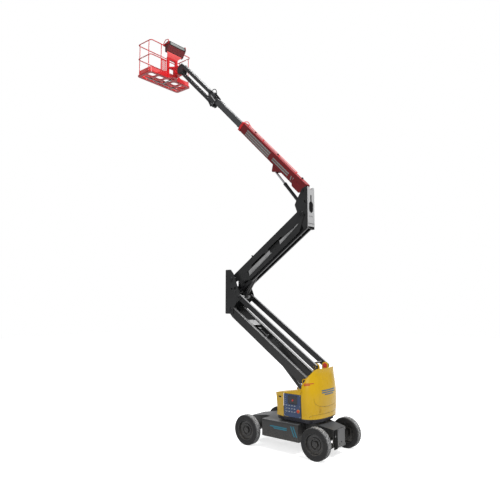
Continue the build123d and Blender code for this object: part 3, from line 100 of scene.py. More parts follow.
def rod(centre, radius, length, axis="Y", around=24, bevel=0.0):
    deselectAll()
    bpy.ops.mesh.primitive_cylinder_add(
        vertices=around, radius=radius, depth=length, location=centre, rotation=axisTurns[axis])
    piece = bpy.context.object
    if bevel:
        bpy.ops.object.mode_set(mode="EDIT")
        bpy.ops.mesh.select_all(action="DESELECT")
        leaveEdit()
        # the two rims are the edges that keep one height
        corners = piece.data.vertices
        for edge in piece.data.edges:
            first, second = edge.vertices
            if abs(corners[first].co.z - corners[second].co.z) < 1e-6:
                edge.select = True
        bpy.ops.object.mode_set(mode="EDIT")
        bpy.ops.mesh.select_mode(type="EDGE")
        bpy.ops.mesh.bevel(offset=bevel, segments=2, affect="EDGES")
        leaveEdit()
    return piece


def hoseCurve(points, radius, name, fine=3):
    curve = bpy.data.curves.new(name, "CURVE")
    curve.dimensions = "3D"
    spline = curve.splines.new("NURBS")
    spline.points.add(len(points) - 1)
    for point, place in zip(spline.points, points):
        point.co = (*place, 1)
    spline.order_u = 3
    spline.use_endpoint_u = True
    spline.resolution_u = 6
    curve.bevel_depth = radius
    curve.bevel_resolution = fine
    curve.use_fill_caps = True
    piece = bpy.data.objects.new(name, curve)
    bpy.context.scene.collection.objects.link(piece)
    return piece


def pipe(points, radius, name, fine=3):
    activate(hoseCurve(points, radius, name, fine))
    bpy.ops.object.convert(target="MESH")
    return bpy.context.object


# a place on an arm: run along it from its pivot, rise square to it, side across the machine
def along(pivot, angle, run, rise, side=0.0):
    ux, uz = cos(radians(angle)), sin(radians(angle))
    nx, nz = (-uz, ux) if ux > 0 else (uz, -ux)
    return (pivot[0] + run * ux + rise * nx, side, pivot[1] + run * uz + rise * nz)


# shader nodes of one material
class Nodes:
    def __init__(self, name):
        self.material = bpy.data.materials.new(name)
        self.material.use_nodes = True
        self.tree = self.material.node_tree
        self.shader = self.tree.nodes["Principled BSDF"]
        self.coords = self.tree.nodes.new("ShaderNodeTexCoord").outputs["Object"]

    def add(self, kind, inputs=None, **values):
        node = self.tree.nodes.new(kind)
        for key, value in values.items():
            setattr(node, key, value)
        for key, value in (inputs or {}).items():
            if isinstance(value, bpy.types.NodeSocket):
                self.tree.links.new(value, node.inputs[key])
            else:
                node.inputs[key].default_value = value
        return node

    def noise(self, scale, detail, rough=0.55, stretch=None):
        place = self.coords
        if stretch:
            place = self.add("ShaderNodeMapping", {"Vector": place, "Scale": stretch}).outputs[0]
        return self.add("ShaderNodeTexNoise", {
            "Vector": place, "Scale": scale, "Detail": detail, "Roughness": rough}).outputs["Fac"]

    def ramp(self, value, low, high, start=0.0, end=1.0):
        return self.add("ShaderNodeMapRange", {
            "Value": value, "From Min": start, "From Max": end,
            "To Min": low, "To Max": high}).outputs[0]

    def mask(self, value, start, end):
        return self.add("ShaderNodeMapRange", {
            "Value": value, "From Min": start, "From Max": end},
            interpolation_type="SMOOTHSTEP").outputs[0]

    def maths(self, operation, first, second=0.0):
        return self.add("ShaderNodeMath", {0: first, 1: second}, operation=operation).outputs[0]

    def mix(self, amount, first, second):
        node = self.add("ShaderNodeMix", data_type="RGBA")
        for index, value in ((0, amount), (6, first), (7, second)):
            if isinstance(value, bpy.types.NodeSocket):
                self.tree.links.new(value, node.inputs[index])
            else:
                node.inputs[index].default_value = value if index == 0 else (*value, 1)
        return node.outputs[2]

    def bump(self, height, strength, distance):
        inputs = {"Height": height, "Strength": strength, "Distance": distance}
        return self.add("ShaderNodeBump", inputs).outputs[0]

    def axis(self, letter):
        return self.add("ShaderNodeSeparateXYZ", {0: self.coords}).outputs[letter]

    def facing(self, letter):
        geometry = self.add("ShaderNodeNewGeometry").outputs["Normal"]
        return self.add("ShaderNodeSeparateXYZ", {0: geometry}).outputs[letter]

    def put(self, **sockets):
        names = {"colour": "Base Color", "rough": "Roughness", "normal": "Normal",
                 "metal": "Metallic", "coat": "Coat Weight", "coatRough": "Coat Roughness",
                 "specular": "Specular IOR Level"}
        for key, value in sockets.items():
            socket = self.shader.inputs[names[key]]
            if isinstance(value, bpy.types.NodeSocket):
                self.tree.links.new(value, socket)
            elif isinstance(value, tuple):
                socket.default_value = (*value, 1)
            else:
                socket.default_value = value
        return self.material


def shade(colour, factor):
    return tuple(min(1.0, part * factor) for part in colour)


paintSet = {"clouds": 2.2, "fine": 38.0, "dust": (0.24, 0.21, 0.17), "dustTop": 0.1,
            "streak": (0.06, 0.055, 0.05), "streakScale": 5.0, "streakPull": (3.0, 3.0, 0.35),
            "streakMix": 0.10, "peelScale": 420.0, "peel": 0.05, "peelDeep": 0.0006, "coatRough": 0.12}


# upper is a painted highlight on faces that look up, backHighlight a painted highlight on those behind
# an x place, plateHighlightFrom a painted highlight on the faces that look up between two x places
# within a half width
def paint(name, colour, rough=0.35, coat=0.4, drift=0.12, grime=0.0, upper=None,
          dustHeight=0.9, backHighlight=None, plateHighlightFrom=None, shine=0.3):
    n = Nodes(name)
    clouds = n.noise(paintSet["clouds"], 5.0)
    fine = n.noise(paintSet["fine"], 3.0)
    spread = n.ramp(clouds, 0.0, 1.0, 0.3, 0.7)
    tone = n.mix(spread, shade(colour, 1 - drift), shade(colour, 1 + drift))
    # faces that look up take the upper colour: a painted highlight
    if upper:
        tone = n.mix(n.mask(n.facing("Z"), 0.55, 0.85), tone, upper)
    # faces behind the x place take a lighter colour: a painted highlight
    if backHighlight:
        place, backHighlightTone = backHighlight
        tone = n.mix(n.maths("LESS_THAN", n.axis("X"), place), tone, backHighlightTone)
    # upward faces between the x places and within the half width take a lighter colour: a painted
    # highlight
    if plateHighlightFrom:
        rear, front, half, plateHighlightTone = plateHighlightFrom
        inside = n.maths("LESS_THAN", n.maths("ABSOLUTE", n.axis("Y")), half)
        between = n.maths("MULTIPLY", n.maths("GREATER_THAN", n.axis("X"), rear),
                         n.maths("LESS_THAN", n.axis("X"), front))
        up = n.maths("GREATER_THAN", n.facing("Z"), 0.5)
        tone = n.mix(n.maths("MULTIPLY", up, n.maths("MULTIPLY", inside, between)), tone, plateHighlightTone)
    low = n.mask(n.axis("Z"), dustHeight, paintSet["dustTop"])
    dust = n.maths("MULTIPLY", n.maths("MULTIPLY", low, grime), n.mask(fine, 0.35, 0.7))
    tone = n.mix(dust, tone, paintSet["dust"])
    streaks = n.mask(n.noise(paintSet["streakScale"], 4.0, 0.6, paintSet["streakPull"]), 0.58, 0.8)
    tone = n.mix(n.maths("MULTIPLY", streaks, paintSet["streakMix"]), tone, paintSet["streak"])
    gloss = n.ramp(clouds, rough - 0.05, rough + 0.09, 0.3, 0.7)
    gloss = n.maths("ADD", gloss, n.maths("MULTIPLY", dust, 0.5))
    relief = n.bump(n.noise(paintSet["peelScale"], 2.0), paintSet["peel"], paintSet["peelDeep"])
    return n.put(colour=tone, rough=gloss, coat=coat * 0.4, coatRough=paintSet["coatRough"],
                 normal=relief, specular=shine)


# the tread, which faces any way but sideways, gets pale chips: partly wear, partly a painted highlight
def rubber(name):
    n = Nodes(name)
    blotch = n.noise(9.0, 5.0)
    fine = n.noise(160.0, 3.0)
    chips = n.noise(52.0, 2.0, 0.7)
    side = n.maths("ABSOLUTE", n.facing("Y"))
    tread = n.maths("SUBTRACT", 1.0, n.mask(side, 0.35, 0.7))
    tone = n.mix(n.mask(blotch, 0.35, 0.7), (0.011, 0.011, 0.012), (0.024, 0.0235, 0.023))
    wornAndLit = n.maths("MULTIPLY", tread, n.mask(chips, 0.42, 0.58))
    tone = n.mix(n.maths("MULTIPLY", wornAndLit, 0.9), tone, (0.52, 0.52, 0.52))
    relief = n.bump(fine, n.ramp(tread, 0.12, 0.5), 0.002)
    return n.put(colour=tone, rough=n.ramp(blotch, 0.62, 0.85, 0.3, 0.7), normal=relief, specular=0.35)


def castIron(name, colour):
    n = Nodes(name)
    grit = n.noise(240.0, 3.0)
    blotch = n.noise(6.0, 4.0)
    tone = n.mix(n.mask(blotch, 0.35, 0.7), colour, shade(colour, 1.5))
    tone = n.mix(n.maths("MULTIPLY", n.mask(n.axis("Z"), 0.8, 0.1), 0.22), tone, (0.2, 0.18, 0.15))
    return n.put(colour=tone, rough=n.ramp(blotch, 0.45, 0.7, 0.3, 0.7), metal=0.2,
                 normal=n.bump(grit, 0.35, 0.001))


def chromeRod(name):
    n = Nodes(name)
    wipe = n.noise(60.0, 3.0, 0.6, (1.0, 6.0, 1.0))
    tone = n.mix(n.mask(wipe, 0.4, 0.7), (0.62, 0.63, 0.65), (0.78, 0.79, 0.81))
    return n.put(colour=tone, metal=1.0, rough=n.ramp(wipe, 0.12, 0.24, 0.3, 0.7),
                 normal=n.bump(wipe, 0.03, 0.0004))


def plastic(name, colour, rough=0.5, shine=0.4):
    n = Nodes(name)
    grain = n.noise(500.0, 2.0)
    cloud = n.noise(7.0, 3.0)
    tone = n.mix(n.mask(cloud, 0.3, 0.7), shade(colour, 0.85), shade(colour, 1.15))
    return n.put(colour=tone, rough=n.ramp(cloud, rough - 0.05, rough + 0.1, 0.3, 0.7),
                 normal=n.bump(grain, 0.15, 0.0005), specular=shine)


def machined(name, colour):
    n = Nodes(name)
    turned = n.noise(90.0, 3.0, 0.6, (6.0, 0.6, 6.0))
    tone = n.mix(n.mask(turned, 0.35, 0.65), shade(colour, 0.75), colour)
    return n.put(colour=tone, metal=0.85, rough=n.ramp(turned, 0.28, 0.45, 0.3, 0.7),
                 normal=n.bump(turned, 0.08, 0.0005))


steelGrey = (0.024, 0.0245, 0.0255)
yellowPaint = (0.70, 0.42, 0.006)
charcoal = (0.0165, 0.0168, 0.0172)
deepRed = (0.145, 0.0055, 0.0075)
brightRed = (0.62, 0.016, 0.02)
# light grey painted as the highlight on the arms' upward faces
topHighlightGrey = (0.24, 0.24, 0.242)

mats = {
    # the upper colours below are painted highlights on the faces that look up
    "chassis": paint("ChassisPaint", steelGrey, 0.42, 0.15, grime=0.35, upper=(0.09, 0.092, 0.095)),
    "frameEnd": paint("EndFramePaint", (0.026, 0.027, 0.028), 0.4, 0.2, grime=0.35,
                      upper=(0.085, 0.087, 0.09)),
    "cast": castIron("CastAxle", (0.022, 0.022, 0.023)),
    "ballast": castIron("BallastCast", (0.03, 0.03, 0.032)),
    "tyre": rubber("SolidTyreRubber"),
    "rim": paint("RimPaint", (0.018, 0.019, 0.021), 0.38, 0.25, grime=0.3),
    "hood": paint("HoodYellow", yellowPaint, 0.26, 0.5, drift=0.05, grime=0.04, dustHeight=1.1,
                  shine=0.2),
    "turntable": paint("TurntableYellow", yellowPaint, 0.34, 0.4, drift=0.08, grime=0.1,
                       dustHeight=1.1, shine=0.2),
    "sill": paint("SillPaint", (0.008, 0.009, 0.02), 0.45, 0.1, grime=0.3, dustHeight=1.2),
    "panel": paint("PanelBlue", (0.036, 0.062, 0.135), 0.42, 0.2, drift=0.15, grime=0.3),
    "button": plastic("StopRed", (0.62, 0.03, 0.02), 0.3),
    "arm": paint("ArmCharcoal", charcoal, 0.36, 0.3, drift=0.16, upper=topHighlightGrey),
    # the upward faces between the lower beams over a short stretch are drawn light grey: a painted
    # highlight
    "lowerArm": paint("LowerArmCharcoal", charcoal, 0.36, 0.3, drift=0.16, upper=topHighlightGrey,
                      plateHighlightFrom=(1.34, 1.64, 0.199, (0.50, 0.50, 0.50))),
    # the riser's back plate is drawn light grey: a painted highlight on the charcoal paint
    "riserBack": paint("RiserCharcoal", charcoal, 0.36, 0.3, drift=0.16,
                       backHighlight=(-0.551, (0.46, 0.46, 0.46))),
    "tie": paint("TieBlack", (0.010, 0.010, 0.011), 0.3, 0.4, upper=(0.42, 0.42, 0.422)),
    "barrel": paint("BarrelBlack", (0.014, 0.014, 0.015), 0.3, 0.45),
    "chrome": chromeRod("ChromeRod"),
    "boom": paint("BoomRed", deepRed, 0.3, 0.5, drift=0.1, upper=(0.58, 0.05, 0.055)),
    "collar": paint("CollarRed", brightRed, 0.3, 0.5),
    "pads": plastic("PadBlack", (0.015, 0.015, 0.015), 0.6),
    "fly": paint("FlyGrey", (0.058, 0.059, 0.061), 0.4, 0.2, drift=0.1, upper=(0.30, 0.302, 0.305)),
    "jib": paint("JibGrey", (0.034, 0.035, 0.037), 0.38, 0.25, drift=0.12, upper=(0.27, 0.272, 0.275)),
    "basket": paint("BasketRed", brightRed, 0.32, 0.4, drift=0.12),
    "basketDeep": paint("BasketDeepRed", (0.36, 0.012, 0.016), 0.4, 0.3, drift=0.12),
    "bars": machined("FloorBarGrey", (0.20, 0.21, 0.21)),
    "console": plastic("ConsoleDark", (0.09, 0.018, 0.02), 0.5),
    # paler copy of the basket red: painted light on the toe boards and console support
    "basketLit": paint("BasketLitRed", (0.78, 0.10, 0.10), 0.36, 0.3, drift=0.1),
    "rail": paint("RailPaleRed", (0.80, 0.13, 0.13), 0.36, 0.3, drift=0.08),
    "teal": paint("StripeTeal", (0.02, 0.19, 0.27), 0.45, 0.1, drift=0.1, grime=0.2),
    "endPlate": paint("EndPlateGrey", (0.13, 0.131, 0.134), 0.42, 0.15, grime=0.25),
    "seam": plastic("SeamShadow", (0.20, 0.115, 0.006), 0.6),
    "markBlue": paint("MarkBlue", (0.045, 0.12, 0.22), 0.4, 0.3, drift=0.08),
    "markRed": paint("MarkRed", (0.50, 0.015, 0.02), 0.4, 0.3, drift=0.08),
    "markGrey": paint("MarkGrey", (0.20, 0.225, 0.215), 0.45, 0.2, drift=0.12),
    "screen": plastic("ScreenDark", (0.010, 0.012, 0.018), 0.25),
    "plate": plastic("LabelPlate", (0.22, 0.27, 0.36), 0.5),
    "amber": plastic("StopAmber", (0.85, 0.36, 0.02), 0.35),
    "pin": machined("PinDark", (0.035, 0.035, 0.037)),
    # flat light grey painted as a highlight on edges, strips, sleeves and ribs
    "edge": paint("EdgeHighlightGrey", (0.40, 0.40, 0.40), 0.35, 0.2, drift=0.2),
    # light grey painted as the lit inner face seen through the arm's windows
    "litInnerPlate": paint("InnerPlateLitGrey", (0.30, 0.30, 0.30), 0.45, 0.1, drift=0.3),
    "strip": plastic("ConsoleStrip", (0.30, 0.31, 0.30), 0.5),
    "steel": machined("BrightSteel", (0.45, 0.45, 0.46)),
    "darkSteel": machined("DarkSteel", (0.06, 0.06, 0.062)),
    "black": plastic("BlackRubber", (0.005, 0.005, 0.005), 0.7, 0.12),
}

coverings = {
    "chassis": ("chassis_box",),
    "frameEnd": ("drive_end_frame", "steer_end_frame"),
    "cast": ("drive_axle", "steer_axle", "knuckle_left", "knuckle_right", "slew_ring"),
    "ballast": ("counterweight",),
    "tyre": tuple("tyre_" + wheel for wheel in wheels),
    "rim": tuple("rim_" + wheel for wheel in wheels),
    "hood": ("tail_hood", "side_cover_left", "side_cover_right"),
    "turntable": ("turntable_frame",),
    "sill": ("cover_sill",),
    "panel": ("control_box",),
    "button": ("stop_button",),
    "lowerArm": ("lower_arm",),
    "arm": ("mid_riser", "upper_arm"),
    "riserBack": ("upper_riser",),
    "tie": ("lower_ties", "upper_ties"),
    "barrel": ("lower_barrel", "upper_barrel", "boom_barrel", "jib_barrel"),
    "chrome": ("lower_rod", "upper_rod", "boom_rod", "jib_rod"),
    "boom": ("main_boom",),
    "rail": ("hose_guide",),
    "collar": ("boom_collar",),
    "pads": ("wear_pads",),
    "fly": ("fly_boom",),
    "jib": ("jib_base", "jib", "jib_bar", "jib_head"),
    "basket": ("platform_mount", "platform_floor", "platform_rails", "entry_bar",
               "rotator_housing", "console_guard_left", "console_guard_right", "mesh_panel"),
    "basketLit": ("toe_boards", "console_support"),
    "bars": ("floor_bar_long", "floor_bar_cross"),
    "console": ("console",),
}
for finish, names in coverings.items():
    for name in names:
        nodes[name].data.materials.clear()
        nodes[name].data.materials.append(mats[finish])
print("CAD nodes painted")


# the outer skin of a solid: where a straight line from a point first meets it
def skin(node, start, heading):
    hit, place = nodes[node].ray_cast(Vector(start), Vector(heading))[:2]
    return place if hit else Vector(start)


boltSet = {"deep": 0.9, "bevel": 0.12, "washer": 1.45, "washerDeep": 0.35, "washerBevel": 0.06}


# six-sided heads on washers, joined; all measures are shares of the head's radius
def bolts(places, axis, size):
    heads = []
    for place in places:
        head = rod(place, size, size * boltSet["deep"], axis, around=6, bevel=size * boltSet["bevel"])
        washer = rod(place, size * boltSet["washer"], size * boltSet["washerDeep"], axis, around=16,
                     bevel=size * boltSet["washerBevel"])
        heads += [head, washer]
    return joinPieces(heads)


def ring(centre, radius, thickness, axis):
    deselectAll()
    bpy.ops.mesh.primitive_torus_add(location=centre, rotation=axisTurns[axis], major_radius=radius,
                                     minor_radius=thickness, major_segments=32, minor_segments=8)
    return bpy.context.object


# flat plate in a vertical plane: outline of (x, z), its inner face at y = side
def slab(outline, side, depth, bevel=0.0015):
    deselectAll()
    bpy.ops.mesh.primitive_circle_add(vertices=len(outline), fill_type="NGON")
    piece = bpy.context.object
    for vertex, (x, z) in zip(piece.data.vertices, outline):
        vertex.co = (x, side, z)
    bpy.ops.object.mode_set(mode="EDIT")
    bpy.ops.mesh.select_all(action="SELECT")
    bpy.ops.mesh.extrude_region_move(TRANSFORM_OT_translate={"value": (0, depth, 0)})
    bpy.ops.mesh.select_all(action="SELECT")
    bpy.ops.mesh.normals_make_consistent(inside=False)
    if bevel:
        bpy.ops.mesh.bevel(offset=bevel, segments=1, affect="EDGES")
    leaveEdit()
    return piece


wheelSet = {"axleX": 1.105, "axleZ": 0.4,
            "nutCircle": 0.138, "nutCount": 9, "nutSize": 0.013, "nutFace": 0.792,
            "capCircle": 0.044, "capCount": 6, "capSize": 0.008, "capFace": 0.822}
for name in wheels:
    x = wheelSet["axleX"] if name.startswith("drive") else -wheelSet["axleX"]
    side = 1 if name.endswith("left") else -1
    for kind, key in (("Nuts", "nut"), ("CapBolts", "cap")):
        count, circle = wheelSet[key + "Count"], wheelSet[key + "Circle"]
        places = [(x + circle * cos(2 * pi * i / count), side * wheelSet[key + "Face"],
                   wheelSet["axleZ"] + circle * sin(2 * pi * i / count)) for i in range(count)]
        nuts = bolts(places, "Y", wheelSet[key + "Size"])
        finishPiece(nuts, f"wheel{kind}_{name}", "wheel_" + name, "darkSteel")
print("wheel nuts set")

# plain stripes and trim of the chassis: rows are a stripe's rise and how far its start is drawn in
chassisSet = {"side": 0.765, "mark": 0.0015, "rows": ((0.0, 0.0), (-0.042, 0.12)),
              "stripeTop": 0.645, "stripeStart": 0.33, "stripeEnd": -0.23, "stripeDeep": 0.028,
              "stripeLean": 0.03, "slashStart": -0.34, "slashSteps": (0.0, 0.075),
              "slashTop": 0.71, "slashFoot": 0.46, "slashWide": 0.035, "slashLean": 0.11,
              "lip": (1.13, 0.006, 0.018), "lipZ": 0.764, "cover": (0.9, 0.003, 0.10), "coverZ": 0.40,
              "screwX": (-0.42, -0.14, 0.14, 0.42), "screwZ": (0.365, 0.435), "screwSize": 0.006}
for side, word in sides:
    face = side * chassisSet["side"]
    depth = side * chassisSet["mark"]
    stripes = []
    for rise, inset in chassisSet["rows"]:
        top = chassisSet["stripeTop"] + rise
        foot = top - chassisSet["stripeDeep"]
        start, end = chassisSet["stripeStart"] - inset, chassisSet["stripeEnd"]
        outline = [(start, top), (end, top), (end, foot), (start - chassisSet["stripeLean"], foot)]
        stripes.append(slab(outline, face, depth, 0))
    for step in chassisSet["slashSteps"]:
        x = chassisSet["slashStart"] - step
        lean, wide = chassisSet["slashLean"], chassisSet["slashWide"]
        top, foot = chassisSet["slashTop"], chassisSet["slashFoot"]
        outline = [(x, top), (x - wide, top), (x - wide - lean, foot), (x - lean, foot)]
        stripes.append(slab(outline, face, depth, 0))
    finishPiece(stripes, "chassisStripes_" + word, "chassis", "teal")
    # rolled lip under the deck edge, service cover and its screws
    lip = block((0, face + side * 0.003, chassisSet["lipZ"]), chassisSet["lip"], bevel=0.0025)
    cover = block((0, face + side * 0.0015, chassisSet["coverZ"]), chassisSet["cover"], bevel=0.001)
    finishPiece([lip, cover], "chassisLip_" + word, "chassis", "chassis")
    screws = bolts([(x, face + side * 0.003, z) for x in chassisSet["screwX"]
                    for z in chassisSet["screwZ"]], "Y", chassisSet["screwSize"])
    finishPiece(screws, "chassisScrews_" + word, "chassis", "darkSteel")

# end plates: sizes along x, y and z, places as y and z
endSet = {"face": 1.34, "tongue": (0.012, 0.385, 0.46), "tongueAt": (-0.075, 0.445),
          "flange": (0.010, 0.155, 0.47), "flangeAt": (0.205, 0.43), "markOut": 0.013, "markDeep": 0.003,
          "slot": (0.003, 0.022, 0.34), "slotAt": (-0.245, 0.45),
          "holes": ((-0.06, 0.335), (0.03, 0.30)), "holeRadius": 0.016,
          "dots": ((0.06, 0.62), (0.06, 0.58)), "dotRadius": 0.011,
          "eyeAt": (0.225, 0.515), "eyeOut": 0.011, "eyeRadius": 0.026, "eyeDeep": 0.006,
          "studs": ((-0.19, 0.64), (0.09, 0.64), (-0.19, 0.25), (0.09, 0.25)), "studSize": 0.011}


def onEnd(end, out, spot):
    return (end * endSet["face"] + end * out, *spot)


for end, word in ((-1, "steer"), (1, "drive")):
    tongue = block(onEnd(end, endSet["tongue"][0] / 2, endSet["tongueAt"]), endSet["tongue"],
                   bevel=0.008)
    finishPiece(tongue, "endTongue_" + word, "chassis", "endPlate")
    # the slot, holes and dots are thin black slabs painted as the shade inside openings in the end plate
    slots = [block(onEnd(end, endSet["markOut"], endSet["slotAt"]), endSet["slot"], bevel=0)]
    for key, radius in (("holes", endSet["holeRadius"]), ("dots", endSet["dotRadius"])):
        slots += [rod(onEnd(end, endSet["markOut"], spot), radius, endSet["markDeep"], "X")
                  for spot in endSet[key]]
    finishPiece(slots, "endSlots_" + word, "chassis", "black")
    flange = block(onEnd(end, endSet["flange"][0] / 2, endSet["flangeAt"]), endSet["flange"],
                   bevel=0.012)
    finishPiece(flange, "endFlange_" + word, "chassis", "black")
    eye = rod(onEnd(end, endSet["eyeOut"], endSet["eyeAt"]), endSet["eyeRadius"], endSet["eyeDeep"], "X",
              bevel=0.001)
    finishPiece(eye, "endEye_" + word, "chassis", "endPlate")
    studs = bolts([onEnd(end, endSet["markOut"], spot) for spot in endSet["studs"]], "X",
                  endSet["studSize"])
    finishPiece(studs, "endBolts_" + word, "chassis", "darkSteel")
print("chassis trim made")

# raised lines on the hood's tail: half width, height of the ends, rise to the middle, fullness
hoodLines = {
    "hoodEmboss": {"half": 0.545, "foot": 1.44, "rise": -0.235, "power": 3},
    "hoodArch": {"half": 0.62, "foot": 0.965, "rise": 0.065, "power": 6},
}
hoodSet = {"line": 0.0035, "steps": 28, "before": -2}
for name, line in hoodLines.items():
    points = []
    for i in range(hoodSet["steps"] + 1):
        y = line["half"] * sin(pi * (i / hoodSet["steps"] - 0.5))
        arch = (1 - min(1, abs(y) / line["half"]) ** line["power"]) ** (1 / 3)
        start = (hoodSet["before"], y, line["foot"] + line["rise"] * arch)
        points.append(skin("tail_hood", start, (1, 0, 0)))
    seam = pipe(points, hoodSet["line"], name, 2)
    finishPiece(seam, name, "turntable", "seam")

# plain marks on the hood: height and half length of each bar, height and length of each slash
markSet = {"bars": ((1.61, 0.30), (1.56, 0.30), (1.51, 0.20)), "barDeep": 0.030, "barTiles": 10,
           "slashes": ((1.79, 0.21), (1.755, 0.15)), "slashDeep": 0.020, "slashStart": -0.70,
           "slashRise": 0.02, "slashTiles": 6, "tileThick": 0.008, "overlap": 1.04}


# short tiles laid on the hood between one surface point and the next
def wrapped(ends, deep):
    tiles = []
    for start, end in zip(ends, ends[1:]):
        flat = atan2(end.y - start.y, end.x - start.x)
        size = ((end - start).length * markSet["overlap"], markSet["tileThick"], deep)
        tiles.append(block((start + end) / 2, size, (0, 0, flat), 0))
    return tiles


badge = []
count = markSet["barTiles"]
for height, half in markSet["bars"]:
    ends = [skin("tail_hood", (hoodSet["before"], half * (2 * i / count - 1), height), (1, 0, 0))
            for i in range(count + 1)]
    badge += wrapped(ends, markSet["barDeep"])
finishPiece(badge, "hoodBars", "turntable", "markBlue")

slashes = []
count = markSet["slashTiles"]
for side in (1, -1):
    for height, length in markSet["slashes"]:
        ends = [skin("tail_hood", (markSet["slashStart"] - length * i / count, side * 2,
                                   height + markSet["slashRise"] * i / count), (0, -side, 0))
                for i in range(count + 1)]
        slashes += wrapped(ends, markSet["slashDeep"])
finishPiece(slashes, "hoodSlashes", "turntable", "markRed")

louvreSet = {"sides": (-0.32, 0.32), "count": 5, "start": 1.09, "step": 0.026, "lean": 20,
             "size": (0.006, 0.16, 0.009)}
louvres = []
for y in louvreSet["sides"]:
    for i in range(louvreSet["count"]):
        height = louvreSet["start"] + i * louvreSet["step"]
        place = skin("tail_hood", (hoodSet["before"], y, height), (1, 0, 0))
        louvres.append(block(place, louvreSet["size"], (0, radians(louvreSet["lean"]), 0), 0.002))
finishPiece(louvres, "hoodLouvres", "turntable", "hood")

latchSet = {"x": 0.02, "z": 1.40, "grip": (0.13, 0.010, 0.036), "hook": (0.035, 0.012, 0.014),
            "hookAt": (0.06, 0.006, 0.006), "keeper": (0.020, 0.010, 0.020),
            "keeperAt": (-0.05, 0.004, 0)}
for side, word in sides:
    place = skin("side_cover_" + word, (latchSet["x"], side * 2, latchSet["z"]), (0, -side, 0))
    grip = block(place, latchSet["grip"], bevel=0.004)
    finishPiece(grip, "coverGrip_" + word, "cover_" + word, "black")
    latch = []
    for key in ("hook", "keeper"):
        x, y, z = latchSet[key + "At"]
        latch.append(block(place + Vector((x, side * y, z)), latchSet[key], bevel=0.003))
    finishPiece(latch, "coverLatch_" + word, "cover_" + word, "darkSteel")
print("hood marks and latches made")

panelSet = {"face": 0.698, "screenX": -0.372, "screenZ": 1.365, "screen": (0.275, 0.006, 0.185),
            "rims": ((0, 0.098, (0.295, 0.008, 0.012)), (0, -0.098, (0.295, 0.008, 0.012)),
                     (0.142, 0, (0.012, 0.008, 0.20)), (-0.142, 0, (0.012, 0.008, 0.20))),
            "keyShift": -0.01, "keyRadius": 0.024, "keyDeep": 0.016,
            "columns": 4, "rows": 3, "startX": -0.20, "startZ": 1.215, "stepX": 0.085, "stepZ": 0.075,
            "switchRadius": 0.011, "toggle": (0.006, 0.010, 0.018), "toggleLean": -20,
            "plate": (0.026, 0.002, 0.030), "tag": (0.024, 0.002, 0.014), "tagX": -0.145, "tagZ": 1.42,
            "tagStep": 0.05, "tagCount": 9, "stopAt": (-0.55, 1.094), "stopRadius": 0.040,
            "screwX": (-0.605, -0.115), "screwZ": (0.955, 1.22, 1.485), "screwSize": 0.006}
face = panelSet["face"]
x, z = panelSet["screenX"], panelSet["screenZ"]
screen = block((x, face + 0.001, z), panelSet["screen"], bevel=0.002)
rims = [block((x + across, face + 0.003, z + up), size, bevel=0.002)
        for across, up, size in panelSet["rims"]]
finishPiece([screen] + rims, "panelScreen", "turntable", "screen")
keyKnob = rod((x + panelSet["keyShift"], face + panelSet["keyDeep"] / 2, z + panelSet["keyShift"]),
              panelSet["keyRadius"], panelSet["keyDeep"], "Y", bevel=0.003)
finishPiece(keyKnob, "panelKey", "turntable", "button")
spots = [(panelSet["startX"] - column * panelSet["stepX"], panelSet["startZ"] - row * panelSet["stepZ"])
         for column in range(panelSet["columns"]) for row in range(panelSet["rows"])]
switches = []
for x, z in spots:
    switches.append(rod((x, face + 0.004, z), panelSet["switchRadius"], 0.010, "Y", around=16,
                        bevel=0.001))
    switches.append(block((x, face + 0.011, z + 0.006), panelSet["toggle"],
                          (radians(panelSet["toggleLean"]), 0, 0), 0.0015))
finishPiece(switches, "panelSwitches", "turntable", "steel")
plates = [block((x + 0.03, face + 0.0008, z - 0.004), panelSet["plate"], bevel=0) for x, z in spots]
plates += [block((panelSet["tagX"], face + 0.0008, panelSet["tagZ"] - i * panelSet["tagStep"]),
                 panelSet["tag"], bevel=0) for i in range(panelSet["tagCount"])]
finishPiece(plates, "panelPlates", "turntable", "plate")
x, z = panelSet["stopAt"]
collar = ring((x, face + 0.004, z), panelSet["stopRadius"], 0.006, "Y")
finishPiece(collar, "panelStopRing", "turntable", "amber")
corners = bolts([(x, face + 0.002, z) for x in panelSet["screwX"] for z in panelSet["screwZ"]], "Y",
                panelSet["screwSize"])
finishPiece(corners, "panelScrews", "turntable", "steel")
print("ground panel fitted")

# each arm's pivot (x, z) and its angle in degrees
lowerPivot, lowerTurn = (-0.489, 1.797), 34.8
upperPivot, upperTurn = (2.1346, 4.5354), 180 - 35.3
boomPivot, boomTurn = (-0.407, 6.967), 45

pinSet = {"proud": 0.010, "keeper": (0.070, 0.006, 0.020), "keeperOut": 1.25, "screwOut": 0.3,
          "screwSize": 0.008}
pins = (  # name, node, body, pivot, radius, keeper's angle
    ("lowerFoot", "turntable_frame", "turntable", lowerPivot, 0.042, 200),
    ("tieFoot", "turntable_frame", "turntable", (-0.803, 2.185), 0.034, 90),
    ("lowerHead", "mid_riser", "mid_riser", (2.158, 3.636), 0.042, 90),
    ("tieHead", "mid_riser", "mid_riser", (1.844, 4.024), 0.034, 60),
    ("upperFoot", "mid_riser", "mid_riser", upperPivot, 0.042, -90),
    ("upperHead", "upper_riser", "upper_riser", (-0.339, 6.287), 0.042, 90),
    ("boomFoot", "upper_riser", "upper_riser", boomPivot, 0.036, -90),
    ("jibFoot", "jib_base", "jib_base", (3.33, 10.49), 0.030, 200),
    ("barFoot", "jib_base", "jib_base", (3.326, 10.779), 0.024, 180),
    ("jibHead", "jib_head", "jib_head", (4.745, 11.89), 0.030, 20),
    ("barHead", "jib_head", "jib_head", (4.740, 12.178), 0.024, 0),
)


